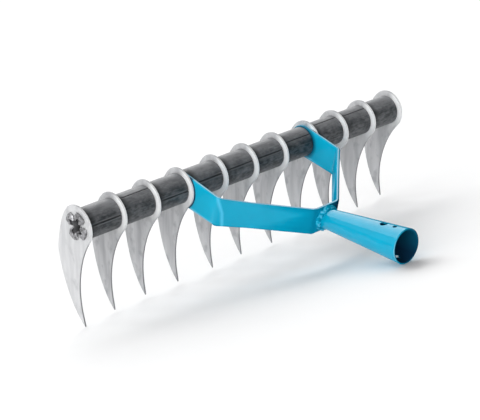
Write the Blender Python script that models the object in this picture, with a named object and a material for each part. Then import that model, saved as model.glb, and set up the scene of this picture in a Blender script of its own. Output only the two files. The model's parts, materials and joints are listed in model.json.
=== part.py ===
"""Head of a scarifying rake, in metres and at its real size.

Eleven sickle-shaped steel tines are keyed onto one hollow shaft, with plastic spacers between them. A bent
strip yoke holds the shaft by two eyes, and a tapered socket welded to the yoke takes the handle.

Each piece is drawn in the head's own frame: the shaft along X with its middle at the origin, the handle
towards -Y, the tines hanging down. One empty then leans the whole head back until the tine tips and the
mouth of the socket stand on the ground.
"""

import math

import bmesh
import bpy
from mathutils import Matrix, Vector
from mathutils.geometry import interpolate_bezier

# Clearance left between pieces that touch on the real head
SEAT_GAP = 0.0003

# Stack of pieces along the shaft
TINE_COUNT = 11
TINE_THICKNESS = 0.0015
SPACER_LENGTH = 0.0327
SPACER_RADIUS = 0.0128
SPACER_EDGE = 0.0004
# The left eye of the yoke lies against the inner face of this tine, counted from the end, and the right eye
# against its twin
TINE_BESIDE_EYE = 4

# Outline of a tine, seen along the shaft: a ring that runs out into a sickle
RING_RADIUS = 0.0172
TIP_BACK = 0.0021
TIP_DROP = 0.0865
BELLY_BACK = 0.0276
BELLY_DROP = 0.0253
THROAT_BACK = 0.0051
THROAT_DROP = 0.0612
BACK_LEAVES_RING = math.radians(50)
FRONT_LEAVES_RING = math.radians(220)
# How far each curve keeps its direction, from the ring down to the tip
BACK_REACHES = (0.0133, 0.0035, 0.0060, 0.0270)
FRONT_REACHES = (0.0240, 0.0085, 0.0140, 0.0085)
BACK_TIP_ANGLE = math.radians(40)
FRONT_TIP_ANGLE = math.radians(82)
# The blades aren't quite in line: degrees that each is swung round the shaft, from the left, with its tip
# away from the handle where the number is positive
BLADE_SWINGS = (-4.5, -0.5, 1.4, 0.9, 0.3, 1.3, 0.1, 0.4, -0.3, -0.7, 1.9)

# Shaft: a hollow drawn bar with four lobes, whose slit ends are folded out and pressed onto the end tines
LOBE_COUNT = 4
LOBE_REACH = 0.0094
LOBE_VALLEY = 0.0054
LOBE_TURN = math.radians(27)
SHAFT_WALL = 0.0013
TAB_SLIT = math.radians(16)
TAB_FOLD_RADIUS = 0.0005
TAB_REACH = 0.0121
TAB_SPREAD = 1.2

# Yoke: a flat strip bent four times, its plane sloping down towards the handle
STRIP_THICKNESS = 0.0030
STRIP_EDGE = 0.0006
EYE_RADIUS = 0.0142
NECK_FROM_EYE = 0.0680
STRIP_NECK_HEIGHT = 0.0238
STRIP_END_HEIGHT = 0.0230
YOKE_SLOPE = math.radians(11)
YOKE_REACH = 0.0944
EYE_ARM_LEFT = 0.0430
EYE_ARM_RIGHT = 0.0390
CENTRE_FLAT = 0.0252
BEND_RADIUS = 0.0055

# Socket for the handle
SOCKET_LENGTH = 0.0861
SOCKET_MOUTH_RADIUS = 0.0145
SOCKET_BACK_RADIUS = 0.0084
SOCKET_WALL = 0.0017
SOCKET_RISE = math.radians(3.4)
SCREW_HOLE_RADIUS = 0.0017
SCREW_HOLE_FROM_MOUTH = 0.0111
LOCK_HOLE_RADIUS = 0.0030
LOCK_HOLE_FROM_MOUTH = 0.0228
# Both holes lean over towards the left end of the shaft
HOLES_TURN = math.radians(3)

# Weld bead round the back of the socket
BEAD_WIDTH = 0.0026
BEAD_HEIGHT = 0.0030
BEAD_RIPPLES = 17
BEAD_RIPPLE_SHARE = 0.10
BEAD_WAVERS = 3
BEAD_WAVER_SHARE = 0.08

# Smoothness of the round forms
SPACER_SIDES = 36
TAB_POINTS = 9
RING_POINTS = 19
EDGE_POINTS = 9
EYE_POINTS = 17
BEND_STEPS = 5
FOLD_STEPS = 4
SOCKET_SIDES = 48
BEAD_SIDES = 68
BEAD_ARC_POINTS = 5
HOLE_SIDES = 20
SHARP_ANGLE = math.radians(35)
# Points of one mesh closer than this are the same point
SAME_PLACE = 0.000001


# Places worked out from the sizes above

def stack():
    """Left face of each tine and spacer along X, and the middle plane of the right eye."""
    tines = []
    spacers = []
    eyes = []
    x = 0.0
    for number in range(1, TINE_COUNT + 1):
        if number == TINE_COUNT + 1 - TINE_BESIDE_EYE:
            eyes.append(x + STRIP_THICKNESS / 2)
            x += STRIP_THICKNESS + SEAT_GAP
        tines.append(x)
        x += TINE_THICKNESS + SEAT_GAP
        if number == TINE_BESIDE_EYE:
            eyes.append(x + STRIP_THICKNESS / 2)
            x += STRIP_THICKNESS + SEAT_GAP
        if number < TINE_COUNT:
            spacers.append(x)
            x += SPACER_LENGTH + SEAT_GAP
    middle = (x - SEAT_GAP) / 2
    return [t - middle for t in tines], [s - middle for s in spacers], max(eyes) - middle


TINE_FACES, SPACER_FACES, EYE_X = stack()
# Outer face of the last tine
STACK_END = TINE_FACES[-1] + TINE_THICKNESS

# Directions in the yoke's sloping plane: away from the shaft, and square to the plane
ALONG_YOKE = Vector((0, -math.cos(YOKE_SLOPE), -math.sin(YOKE_SLOPE)))
ACROSS_YOKE = Vector((0, -math.sin(YOKE_SLOPE), math.cos(YOKE_SLOPE)))
# Directions of the socket: out of its mouth, and up square to its axis
ALONG_SOCKET = Vector((0, -math.cos(SOCKET_RISE), math.sin(SOCKET_RISE)))
ACROSS_SOCKET = Vector((0, math.sin(SOCKET_RISE), math.cos(SOCKET_RISE)))
SIDEWAYS = Vector((1, 0, 0))
# The socket's axis meets the outer face of the yoke's centre flat here
SOCKET_ROOT = (YOKE_REACH + STRIP_THICKNESS / 2) * ALONG_YOKE


def blade_swing(number):
    """Angle that the tine with this number, from the left, is swung round the shaft."""
    return math.radians(BLADE_SWINGS[(number - 1) % len(BLADE_SWINGS)])


# Outlines

def bezier(start, start_handle, end_handle, end):
    """Points of one curved edge, without its last point."""
    return [p.to_2d() for p in interpolate_bezier(start, start_handle, end_handle, end, EDGE_POINTS)][:-1]


def on_circle(radius, angle):
    return radius * Vector((math.cos(angle), math.sin(angle)))


def circle(radius, sides):
    return [on_circle(radius, math.tau * i / sides) for i in range(sides)]


def tine_outline(swing):
    """The outline, as (Y, Z), of a tine swung round the shaft, from where its back edge leaves the ring."""
    turn = Matrix.Rotation(swing, 2)
    tip = Vector((TIP_BACK, -TIP_DROP))
    belly = Vector((BELLY_BACK, -BELLY_DROP))
    throat = Vector((THROAT_BACK, -THROAT_DROP))
    down = Vector((0, -1))
    sweep = FRONT_LEAVES_RING - BACK_LEAVES_RING
    ring = [on_circle(RING_RADIUS, BACK_LEAVES_RING + sweep * i / RING_POINTS) for i in range(RING_POINTS)]
    front = on_circle(RING_RADIUS, FRONT_LEAVES_RING)
    leave, rise, fall, land = FRONT_REACHES
    along_ring = on_circle(leave, FRONT_LEAVES_RING + math.pi / 2)
    front_edge = bezier(front, front + along_ring, throat - rise * down, throat)
    front_edge += bezier(throat, throat + fall * down, tip + on_circle(land, FRONT_TIP_ANGLE), tip)
    back = on_circle(RING_RADIUS, BACK_LEAVES_RING)
    leave, rise, fall, land = BACK_REACHES
    along_ring = on_circle(leave, BACK_LEAVES_RING - math.pi / 2)
    back_edge = bezier(tip, tip + on_circle(land, BACK_TIP_ANGLE), belly + fall * down, belly)
    back_edge += bezier(belly, belly - rise * down, back + along_ring, back)
    return [turn @ p for p in ring + front_edge + back_edge]


def lobed_outline(offset):
    """The shaft's lobed outline as (Y, Z), grown by offset square to itself.

    Each lobe has the points of its folded tab, and then one point in the valley behind it.
    """
    middle = (LOBE_REACH + LOBE_VALLEY) / 2
    swell = (LOBE_REACH - LOBE_VALLEY) / 2
    half_lobe = math.pi / LOBE_COUNT
    half_tab = half_lobe - TAB_SLIT / 2
    angles = []
    for lobe in range(LOBE_COUNT):
        crown = math.tau * lobe / LOBE_COUNT
        angles += [crown + half_tab * (2 * i / (TAB_POINTS - 1) - 1) for i in range(TAB_POINTS)]
        angles.append(crown + half_lobe)
    points = []
    for angle in angles:
        wave = LOBE_COUNT * angle
        radius = middle + swell * math.cos(wave)
        slope = math.atan2(LOBE_COUNT * swell * math.sin(wave), radius)
        points.append(on_circle(radius, angle + LOBE_TURN) + on_circle(offset, angle + LOBE_TURN + slope))
    return points


# Meshes

def ring_of(bm, points):
    return [bm.verts.new(p) for p in points]


def join_rings(bm, low, high):
    """A band of quads between two rings of points."""
    for i in range(len(low)):
        j = (i + 1) % len(low)
        bm.faces.new((low[i], low[j], high[j], high[i]))


def cap_with_holes(bm, rings):
    """A flat face over the first ring, open inside the other rings."""
    edges = [bm.edges.get((ring[i - 1], ring[i])) for ring in rings for i in range(len(ring))]
    bmesh.ops.triangle_fill(bm, edges=edges, use_beauty=True, use_dissolve=False)


def holed_plate(levels, holes):
    """A closed plate with straight holes: levels are (height, outline) pairs, and points (height, *outline)."""
    bm = bmesh.new()
    rims = [ring_of(bm, [(x, p.x, p.y) for p in outline]) for x, outline in levels]
    for low, high in zip(rims, rims[1:]):
        join_rings(bm, low, high)
    bottom = [rims[0]]
    top = [rims[-1]]
    for hole in holes:
        bottom.append(ring_of(bm, [(levels[0][0], p.x, p.y) for p in hole]))
        top.append(ring_of(bm, [(levels[-1][0], p.x, p.y) for p in hole]))
        join_rings(bm, bottom[-1], top[-1])
    cap_with_holes(bm, bottom)
    cap_with_holes(bm, top)
    bmesh.ops.recalc_face_normals(bm, faces=bm.faces[:])
    return bm


def finish_mesh(bm, name):
    mesh = bpy.data.meshes.new(name)
    bm.to_mesh(mesh)
    bm.free()
    mesh.shade_smooth()
    mesh.set_sharp_from_angle(angle=SHARP_ANGLE)
    return mesh


def add_piece(name, mesh, finish, frame, x=0.0):
    piece = bpy.data.objects.new(name, mesh)
    bpy.context.scene.collection.objects.link(piece)
    if not mesh.materials:
        mesh.materials.append(finish)
    piece.parent = frame
    piece.location.x = x
    return piece


def make_finish(name, colour, roughness, metallic):
    finish = bpy.data.materials.new(name)
    finish.use_nodes = True
    shader = finish.node_tree.nodes["Principled BSDF"]
    shader.inputs["Base Color"].default_value = (*colour, 1)
    shader.inputs["Roughness"].default_value = roughness
    shader.inputs["Metallic"].default_value = metallic
    return finish


# Tines and spacers

def tine_mesh(name, swing):
    outline = tine_outline(swing)
    return finish_mesh(holed_plate([(0, outline), (TINE_THICKNESS, outline)], [lobed_outline(SEAT_GAP)]), name)


def spacer_mesh():
    body = circle(SPACER_RADIUS, SPACER_SIDES)
    end = circle(SPACER_RADIUS - SPACER_EDGE, SPACER_SIDES)
    levels = [(0, end), (SPACER_EDGE, body), (SPACER_LENGTH - SPACER_EDGE, body), (SPACER_LENGTH, end)]
    return finish_mesh(holed_plate(levels, [lobed_outline(SEAT_GAP)]), "spacer")


# Shaft

def fold_tab(bm, side, lobe, rim, bore):
    """Folds the end of one lobe outwards over the end tine and presses its tip down onto it."""
    crown = on_circle(1, LOBE_TURN + math.tau * lobe / LOBE_COUNT)
    beside = Vector((-crown.y, crown.x))
    end_x = rim[0].co.x
    first = lobe * (TAB_POINTS + 1)
    outer = rim[first:first + TAB_POINTS]
    inner = bore[first:first + TAB_POINTS]
    skins = ((outer, TAB_FOLD_RADIUS), (inner, TAB_FOLD_RADIUS + SHAFT_WALL))

    def place(out, across, rise):
        flat = out * crown + across * beside
        return (end_x + side * rise, flat.x, flat.y)

    rows = [outer + inner[::-1]]
    for step in range(1, FOLD_STEPS + 2):
        fold = math.pi / 2 * min(step / FOLD_STEPS, 1)
        row = []
        for skin, fold_radius in skins:
            points = []
            for corner, point in zip(outer, skin):
                hinge = corner.co.yz.dot(crown) + TAB_FOLD_RADIUS
                out = hinge - (hinge - point.co.yz.dot(crown)) * math.cos(fold)
                across = point.co.yz.dot(beside)
                rise = fold_radius * math.sin(fold)
                if step > FOLD_STEPS:
                    across *= TAB_SPREAD
                    out = math.sqrt(TAB_REACH ** 2 - across ** 2)
                    rise = fold_radius - TAB_FOLD_RADIUS
                points.append(place(out, across, rise))
            row.append(ring_of(bm, points))
        rows.append(row[0] + row[1][::-1])
    for low, high in zip(rows, rows[1:]):
        join_rings(bm, low, high)
    tip = rows[-1]
    for i in range(TAB_POINTS - 1):
        bm.faces.new((tip[i], tip[i + 1], tip[-i - 2], tip[-i - 1]))


def shaft_mesh():
    """The hollow shaft, a tube of four lobes with folded ends."""
    bm = bmesh.new()
    ends = []
    for side in (-1, 1):
        end_x = side * (STACK_END + SEAT_GAP)
        rim = ring_of(bm, [(end_x, p.x, p.y) for p in lobed_outline(0)])
        bore = ring_of(bm, [(end_x, p.x, p.y) for p in lobed_outline(-SHAFT_WALL)])
        ends.append((rim, bore))
        for lobe in range(LOBE_COUNT):
            fold_tab(bm, side, lobe, rim, bore)
            slit_start = lobe * (TAB_POINTS + 1) + TAB_POINTS - 1
            for i in (slit_start, slit_start + 1):
                j = (i + 1) % len(rim)
                bm.faces.new((rim[i], rim[j], bore[j], bore[i]))
    join_rings(bm, ends[0][0], ends[1][0])
    join_rings(bm, ends[0][1], ends[1][1])
    bmesh.ops.recalc_face_normals(bm, faces=bm.faces[:])
    return finish_mesh(bm, "shaft")


# Yoke

def strip_route(arm):
    """The strip's middle line from its middle to the centre of an eye, as (length, turn towards the shaft)."""
    corner_run = EYE_X - CENTRE_FLAT / 2
    leg_angle = math.atan2(YOKE_REACH - arm, corner_run)
    eye_bend = math.pi / 2 - leg_angle
    centre_trim = BEND_RADIUS * math.tan(leg_angle / 2)
    eye_trim = BEND_RADIUS * math.tan(eye_bend / 2)
    leg = math.hypot(corner_run, YOKE_REACH - arm)
    return [
        (CENTRE_FLAT / 2 - centre_trim, 0.0),
        (BEND_RADIUS * leg_angle, leg_angle),
        (leg - centre_trim - eye_trim, 0.0),
        (BEND_RADIUS * eye_bend, eye_bend),
        (arm - eye_trim, 0.0),
    ]


# Left and right half of the strip, whose arms aren't equally long
ROUTES = {-1: strip_route(EYE_ARM_LEFT), 1: strip_route(EYE_ARM_RIGHT)}
# Length along the strip, from its middle to the centre of each eye
EYE_STATIONS = {side: sum(length for length, turn in route) for side, route in ROUTES.items()}


def bent_place(station):
    """Where a length along the strip lands once it is bent: its X, its reach from the shaft and its heading."""
    side = -1 if station < 0 else 1
    left = abs(station)
    x, reach, heading = 0.0, YOKE_REACH, 0.0
    for length, turn in ROUTES[side]:
        step = min(left, length)
        left -= step
        if turn:
            swing = step / BEND_RADIUS
            x += BEND_RADIUS * (math.sin(heading + swing) - math.sin(heading))
            reach -= BEND_RADIUS * (math.cos(heading) - math.cos(heading + swing))
            heading += swing
        else:
            x += step * math.cos(heading)
            reach -= step * math.sin(heading)
    x += left * math.cos(heading)
    reach -= left * math.sin(heading)
    return side * x, reach, side * heading


def blank_outline(inset):
    """The flat blank of the strip as (along, across): two round eyes, narrowing to the middle."""
    outline = []
    for side, route in ROUTES.items():
        neck_at = EYE_STATIONS[side] - NECK_FROM_EYE
        flat_at = sum(length for length, turn in route[:2])
        edge = [Vector((neck_at, STRIP_NECK_HEIGHT / 2 - inset)), Vector((flat_at, STRIP_END_HEIGHT / 2 - inset))]
        half = [Vector((p.x, -p.y)) for p in reversed(edge)]
        for i in range(EYE_POINTS):
            angle = math.pi * i / (EYE_POINTS - 1) - math.pi / 2
            half.append(Vector((EYE_STATIONS[side], 0)) + on_circle(EYE_RADIUS - inset, angle))
        outline += [side * p for p in half + edge]
    return outline


def bend_stations():
    """Lengths along the strip at which its faces are cut so that they can bend."""
    stations = []
    for side, route in ROUTES.items():
        start = 0.0
        for length, turn in route:
            if turn:
                stations += [side * (start + length * i / BEND_STEPS) for i in range(BEND_STEPS + 1)]
            start += length
    return stations


def eye_hole(side):
    """The shaft's hole in an eye, as (along, across) on the flat blank, so that it lands in line when bent."""
    hole = []
    for p in lobed_outline(SEAT_GAP):
        point = Vector((0, p.x, p.y))
        hole.append(Vector((side * (EYE_STATIONS[side] - point.dot(ALONG_YOKE)), point.dot(ACROSS_YOKE))))
    return hole


def blank_with_eyes():
    """The flat strip, with bevelled edges and both holes, as (through, along, across)."""
    half = STRIP_THICKNESS / 2
    inset, full = blank_outline(STRIP_EDGE), blank_outline(0)
    levels = [(-half, inset), (-half + STRIP_EDGE, full), (half - STRIP_EDGE, full), (half, inset)]
    return holed_plate(levels, [eye_hole(-1), eye_hole(1)])


def yoke_mesh():
    """The blank, bent round its four corners and laid in the sloping plane."""
    bm = blank_with_eyes()
    for station in bend_stations():
        everything = bm.verts[:] + bm.edges[:] + bm.faces[:]
        bmesh.ops.bisect_plane(bm, geom=everything, plane_co=(0, station, 0), plane_no=(0, 1, 0), dist=SAME_PLACE)
    for vert in bm.verts:
        through, along, across = vert.co
        x, reach, heading = bent_place(along)
        x += through * math.sin(heading)
        reach += through * math.cos(heading)
        vert.co = x * SIDEWAYS + reach * ALONG_YOKE + across * ACROSS_YOKE
    return finish_mesh(bm, "yoke")


# Socket

def socket_radius(length):
    """Outer radius of the socket at a length from its root along its axis."""
    return SOCKET_BACK_RADIUS + (SOCKET_MOUTH_RADIUS - SOCKET_BACK_RADIUS) * length / SOCKET_LENGTH


def socket_point(length, radius, angle):
    """A point round the socket's axis, with the angle counted from the top towards +X."""
    round_axis = math.sin(angle) * SIDEWAYS + math.cos(angle) * ACROSS_SOCKET
    return SOCKET_ROOT + length * ALONG_SOCKET + radius * round_axis


def socket_mesh():
    """The tapered tube, turned about its axis and cut to lie against the yoke's centre flat."""
    bm = bmesh.new()
    overrun = -SOCKET_MOUTH_RADIUS
    corners = [(overrun, 0), (SOCKET_LENGTH, 0), (SOCKET_LENGTH, SOCKET_WALL), (overrun, SOCKET_WALL)]
    profile = [bm.verts.new(socket_point(s, socket_radius(s) - wall, 0)) for s, wall in corners]
    section = bm.faces.new(profile)
    bmesh.ops.spin(bm, geom=section.edges[:] + profile, cent=SOCKET_ROOT, axis=ALONG_SOCKET,
                   angle=math.tau, steps=SOCKET_SIDES, use_merge=True)
    bm.faces.remove(section)
    bmesh.ops.remove_doubles(bm, verts=bm.verts[:], dist=SAME_PLACE)
    everything = bm.verts[:] + bm.edges[:] + bm.faces[:]
    cut = bmesh.ops.bisect_plane(bm, geom=everything, plane_co=SOCKET_ROOT + SEAT_GAP * ALONG_YOKE,
                                 plane_no=ALONG_YOKE, clear_inner=True)
    rim = [g for g in cut["geom_cut"] if isinstance(g, bmesh.types.BMEdge)]
    bmesh.ops.bridge_loops(bm, edges=rim)
    bmesh.ops.recalc_face_normals(bm, faces=bm.faces[:])
    return finish_mesh(bm, "handle_socket")


def add_drill(name, length, radius, depth_from, depth_to, frame):
    """A hidden cutter that runs across the socket's axis, between two heights over it."""
    turn = Matrix.Rotation(HOLES_TURN, 3, ALONG_SOCKET)
    across = turn @ ACROSS_SOCKET
    bm = bmesh.new()
    bmesh.ops.create_cone(bm, cap_ends=True, segments=HOLE_SIDES, radius1=radius, radius2=radius,
                          depth=depth_to - depth_from)
    mesh = bpy.data.meshes.new(name)
    bm.to_mesh(mesh)
    bm.free()
    drill = bpy.data.objects.new(name, mesh)
    bpy.context.scene.collection.objects.link(drill)
    drill.parent = frame
    drill.location = SOCKET_ROOT + length * ALONG_SOCKET + (depth_from + depth_to) / 2 * across
    drill.rotation_euler = across.to_track_quat("Z", "Y").to_euler()
    drill.hide_render = True
    drill.display_type = "WIRE"
    return drill


def drill_socket(socket, frame):
    """The screw hole goes through both walls, and the lock hole through the upper one."""
    past = 2 * SOCKET_MOUTH_RADIUS
    screw_at = SOCKET_LENGTH - SCREW_HOLE_FROM_MOUTH
    lock_at = SOCKET_LENGTH - LOCK_HOLE_FROM_MOUTH
    drills = [
        add_drill("screw_drill", screw_at, SCREW_HOLE_RADIUS, -past, past, frame),
        add_drill("lock_drill", lock_at, LOCK_HOLE_RADIUS, 0.0, past, frame),
    ]
    for drill in drills:
        cut = socket.modifiers.new(drill.name, "BOOLEAN")
        cut.operation = "DIFFERENCE"
        cut.solver = "EXACT"
        cut.object = drill


# Weld bead

def bead_mesh():
    """A rippled fillet between the back of the socket and the yoke's centre flat."""
    bm = bmesh.new()
    steepness = (SOCKET_MOUTH_RADIUS - SOCKET_BACK_RADIUS) / SOCKET_LENGTH
    rings = []
    for i in range(BEAD_SIDES):
        angle = math.tau * i / BEAD_SIDES
        ripple = 1 + BEAD_RIPPLE_SHARE * math.sin(BEAD_RIPPLES * angle)
        ripple += BEAD_WAVER_SHARE * math.sin(BEAD_WAVERS * angle)
        round_axis = math.sin(angle) * SIDEWAYS + math.cos(angle) * ACROSS_SOCKET
        climb = ALONG_SOCKET + steepness * round_axis
        foot = socket_point(0, SOCKET_BACK_RADIUS, angle)
        outward = (round_axis - round_axis.dot(ALONG_YOKE) * ALONG_YOKE).normalized()

        def wall_place(height):
            """The socket's wall at this height over the flat, pushed out by the seat gap."""
            way = (height - (foot - SOCKET_ROOT).dot(ALONG_YOKE)) / climb.dot(ALONG_YOKE)
            return foot + way * climb + SEAT_GAP / math.cos(YOKE_SLOPE + SOCKET_RISE) * outward

        section = [wall_place(SEAT_GAP)]
        for k in range(BEAD_ARC_POINTS):
            swing = math.pi / 2 * k / (BEAD_ARC_POINTS - 1)
            height = SEAT_GAP + BEAD_HEIGHT * ripple * math.sin(swing)
            section.append(wall_place(height) + BEAD_WIDTH * ripple * math.cos(swing) * outward)
        rings.append(ring_of(bm, section))
    for i in range(BEAD_SIDES):
        join_rings(bm, rings[i - 1], rings[i])
    bmesh.ops.recalc_face_normals(bm, faces=bm.faces[:])
    return finish_mesh(bm, "weld_bead")


# Standing pose

def rest_frame():
    """The empty that leans the head back onto its lowest tip and the socket's mouth, over the origin."""
    swings = [blade_swing(number) for number in range(1, TINE_COUNT + 1)]
    tips = [Matrix.Rotation(swing, 2) @ Vector((TIP_BACK, -TIP_DROP)) for swing in swings]
    mouth = socket_point(SOCKET_LENGTH, SOCKET_MOUTH_RADIUS, math.pi)
    lean = max(math.atan2(mouth.z - tip.y, tip.x - mouth.y) for tip in tips)
    turn = Matrix.Rotation(lean, 3, "X")
    front = (turn @ socket_point(SOCKET_LENGTH, SOCKET_MOUTH_RADIUS, 0)).y
    back = max((turn @ Vector((0, p.x, p.y))).y for swing in swings for p in tine_outline(swing))
    frame = bpy.data.objects.new("rest_frame", None)
    bpy.context.scene.collection.objects.link(frame)
    frame.rotation_euler = (lean, 0, 0)
    frame.location = (0, -(front + back) / 2, -(turn @ mouth).z)
    return frame


def main():
    for old in list(bpy.data.objects):
        bpy.data.objects.remove(old)
    frame = rest_frame()
    steel = make_finish("blade_steel", (0.62, 0.62, 0.63), 0.32, 1.0)
    dark_steel = make_finish("shaft_steel", (0.36, 0.37, 0.38), 0.4, 1.0)
    plastic = make_finish("black_plastic", (0.035, 0.037, 0.04), 0.45, 0.0)
    paint = make_finish("blue_paint", (0.008, 0.44, 0.72), 0.28, 0.0)
    for number, x in enumerate(TINE_FACES, start=1):
        name = f"tine_{number:02d}"
        add_piece(name, tine_mesh(name, blade_swing(number)), steel, frame, x)
    spacer = spacer_mesh()
    for number, x in enumerate(SPACER_FACES, start=1):
        add_piece(f"spacer_{number:02d}", spacer, plastic, frame, x)
    add_piece("shaft", shaft_mesh(), dark_steel, frame)
    add_piece("yoke", yoke_mesh(), paint, frame)
    drill_socket(add_piece("handle_socket", socket_mesh(), paint, frame), frame)
    add_piece("weld_bead", bead_mesh(), paint, frame)


main()
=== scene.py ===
"""Looks of a lawn scarifying rake's head: fine surfaces, finishes, light and camera, set round its CAD frame.

All lengths are in metres. Each piece is drawn in the head's own frame: the shaft lies along X with its middle
at the origin, the handle points to -Y and the tines hang down. HEAD then carries it to its place.
"""

import json
import math
from functools import partial

import bmesh
import bpy
from bpy.props import FloatProperty, FloatVectorProperty, IntProperty, PointerProperty
from mathutils import Matrix, Vector
from mathutils.geometry import interpolate_bezier


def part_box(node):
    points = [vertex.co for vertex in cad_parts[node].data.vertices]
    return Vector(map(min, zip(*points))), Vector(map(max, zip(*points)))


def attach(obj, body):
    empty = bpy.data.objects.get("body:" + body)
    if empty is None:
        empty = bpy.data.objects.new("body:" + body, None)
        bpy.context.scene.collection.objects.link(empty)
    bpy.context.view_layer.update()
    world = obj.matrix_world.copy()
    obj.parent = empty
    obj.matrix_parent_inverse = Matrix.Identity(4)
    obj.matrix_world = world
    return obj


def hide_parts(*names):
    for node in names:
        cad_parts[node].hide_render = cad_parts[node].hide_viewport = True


bl_info = {
    "name": "Rake head looks",
    "version": (1, 0, 0),
    "blender": (4, 5, 0),
    "location": "3D View > Sidebar > Rake head",
    "description": "Dresses the frame of a scarifying rake head with fine surfaces and finishes",
    "category": "Object",
}

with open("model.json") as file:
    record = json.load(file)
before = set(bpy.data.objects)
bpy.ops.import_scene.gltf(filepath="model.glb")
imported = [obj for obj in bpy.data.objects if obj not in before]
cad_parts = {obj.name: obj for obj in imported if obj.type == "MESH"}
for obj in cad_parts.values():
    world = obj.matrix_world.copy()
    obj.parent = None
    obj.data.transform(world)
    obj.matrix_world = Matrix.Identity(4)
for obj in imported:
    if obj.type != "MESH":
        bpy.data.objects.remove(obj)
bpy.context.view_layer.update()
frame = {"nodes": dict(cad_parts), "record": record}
BODY = "root"

# Sizes that the frame's solids have too
SEAT_GAP = 0.0003
RING_RADIUS = 0.0172
TIP_BACK = 0.0021
TIP_DROP = 0.0865
BELLY_BACK = 0.0276
BELLY_DROP = 0.0253
THROAT_BACK = 0.0051
THROAT_DROP = 0.0612
BACK_LEAVES_RING = math.radians(50)
FRONT_LEAVES_RING = math.radians(220)
BACK_REACHES = (0.0133, 0.0035, 0.0060, 0.0270)
FRONT_REACHES = (0.0240, 0.0085, 0.0140, 0.0085)
BACK_TIP_ANGLE = math.radians(40)
FRONT_TIP_ANGLE = math.radians(82)
BLADE_SWINGS = (-4.5, -0.5, 1.4, 0.9, 0.3, 1.3, 0.1, 0.4, -0.3, -0.7, 1.9)
SPACER_RADIUS = 0.0128
LOBE_COUNT = 4
LOBE_REACH = 0.0094
LOBE_VALLEY = 0.0054
LOBE_TURN = math.radians(27)
SHAFT_WALL = 0.0013
TAB_SLIT = math.radians(16)
TAB_FOLD_RADIUS = 0.0005
TAB_REACH = 0.0121
STRIP_THICKNESS = 0.0030
EYE_RADIUS = 0.0142
NECK_FROM_EYE = 0.0680
STRIP_NECK_HEIGHT = 0.0238
STRIP_END_HEIGHT = 0.0230
YOKE_SLOPE = math.radians(11)
YOKE_REACH = 0.0944
EYE_ARM_LEFT = 0.0430
EYE_ARM_RIGHT = 0.0390
CENTRE_FLAT = 0.0252
BEND_RADIUS = 0.0055
SOCKET_LENGTH = 0.0861
SOCKET_MOUTH_RADIUS = 0.0145
SOCKET_BACK_RADIUS = 0.0084
SOCKET_WALL = 0.0017
SOCKET_RISE = math.radians(3.4)
SCREW_HOLE_RADIUS = 0.0017
SCREW_HOLE_FROM_MOUTH = 0.0111
LOCK_HOLE_RADIUS = 0.0030
LOCK_HOLE_FROM_MOUTH = 0.0228
HOLES_TURN = math.radians(3)
# The tine just right of the yoke's right eye, counted from nought
TINE_PAST_EYE = 7

# Turn of each spacer's mould seam round the shaft, from the left, in degrees from +Y towards +Z
SEAM_TURNS = (167, 108, 172, 155, 151, 151, 132, 103, 111, 30)
# Distance from the shaft's axis at which a hammered tab reaches its full width
TAB_SHOULDER = 0.0070

# Smoothness of the fine surfaces
RING_POINTS = 72
EDGE_POINTS = 28
ROUND_STEPS = 3
LOBE_POINTS = 29
SPACER_SIDES = 112
SPACER_ROWS = 10
SEAM_POINTS = 32
FOLD_STEPS = 8
EYE_POINTS = 64
BEND_STEPS = 18
STRIP_ROWS = (-0.45, -0.2, 0.0, 0.2, 0.45)
SOCKET_SIDES = 120
SOCKET_ROWS = 44
BEAD_SIDES = 300
BEAD_ARC_STEPS = 14
HOLE_SIDES = 40
SAME_PLACE = 0.000001
# Corners that turn more than these angles are shaded sharp
SHARP_ANGLE = math.radians(40)
STRIP_SHARP_ANGLE = math.radians(50)
SOCKET_SHARP_ANGLE = math.radians(35)
# The tabs' edges are rounded where they turn more than this, in this many steps
TAB_EDGE_ANGLE = math.radians(50)
TAB_EDGE_STEPS = 2
# Cosines of a face that counts as square to a direction, and of half the sharpest turn of an outline
SQUARE_ENOUGH = 0.9999
SHARPEST_TURN = 0.35

# Grain of the finishes: the size of its features along X, Y and Z, its detail and its seed
GRAIN = {
    "steel_wander": ((0.020, 0.020, 0.020), 1, 41),
    "steel_streak": ((0.012, 0.0055, 0.050), 1, 3),
    "steel_brush": ((0.003, 0.0014, 0.020), 2, 11),
    "steel_stain": ((0.011, 0.008, 0.011), 3, 29),
    "plastic_drawn": ((0.016, 0.0010, 0.0010), 3, 5),
    "plastic_grain": ((0.0005, 0.0005, 0.0005), 2, 13),
    "plastic_cloud": ((0.011, 0.007, 0.007), 3, 17),
    "plastic_smudge": ((0.0040, 0.0022, 0.0022), 3, 37),
    "shaft_drawn": ((0.012, 0.0008, 0.0008), 3, 7),
    "shaft_scuff": ((0.0016, 0.0016, 0.0016), 3, 19),
    "paint_peel": ((0.0013, 0.0013, 0.0013), 1.5, 2),
    "paint_cloud": ((0.013, 0.013, 0.013), 3, 23),
    "floor_speck": ((0.025, 0.025, 0.025), 3, 0),
}

# The tines: how far their streaks wander, and where the painted highlight round the rings fades, outwards and
# along Y and Z
STREAK_WANDER = 0.006
RING_HIGHLIGHT_FADES_PAST = (RING_RADIUS - 0.001, RING_RADIUS + 0.006)
RING_HIGHLIGHT_FADES_ALONG_Y = (-0.0075, -0.0010)
RING_HIGHLIGHT_FADES_ALONG_Z = (-0.015, -0.004)

# The spacers: where the painted shade fades from each left end, how wide it lies at the right end, and its
# colour
END_SHADE_FADES = (0.003, 0.0085)
FAR_END_SHADE_WIDTH = 0.0006
SPACER_SHADE_COLOUR = (0.008, 0.009, 0.010)

# The shaft: how far light reaches into its open ends, its colour in the dark, and how soon its tabs begin
LIT_BORE = 0.009
DARK_BORE = (0.004, 0.004, 0.004)
TAB_BEGINS = 0.0006
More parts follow.
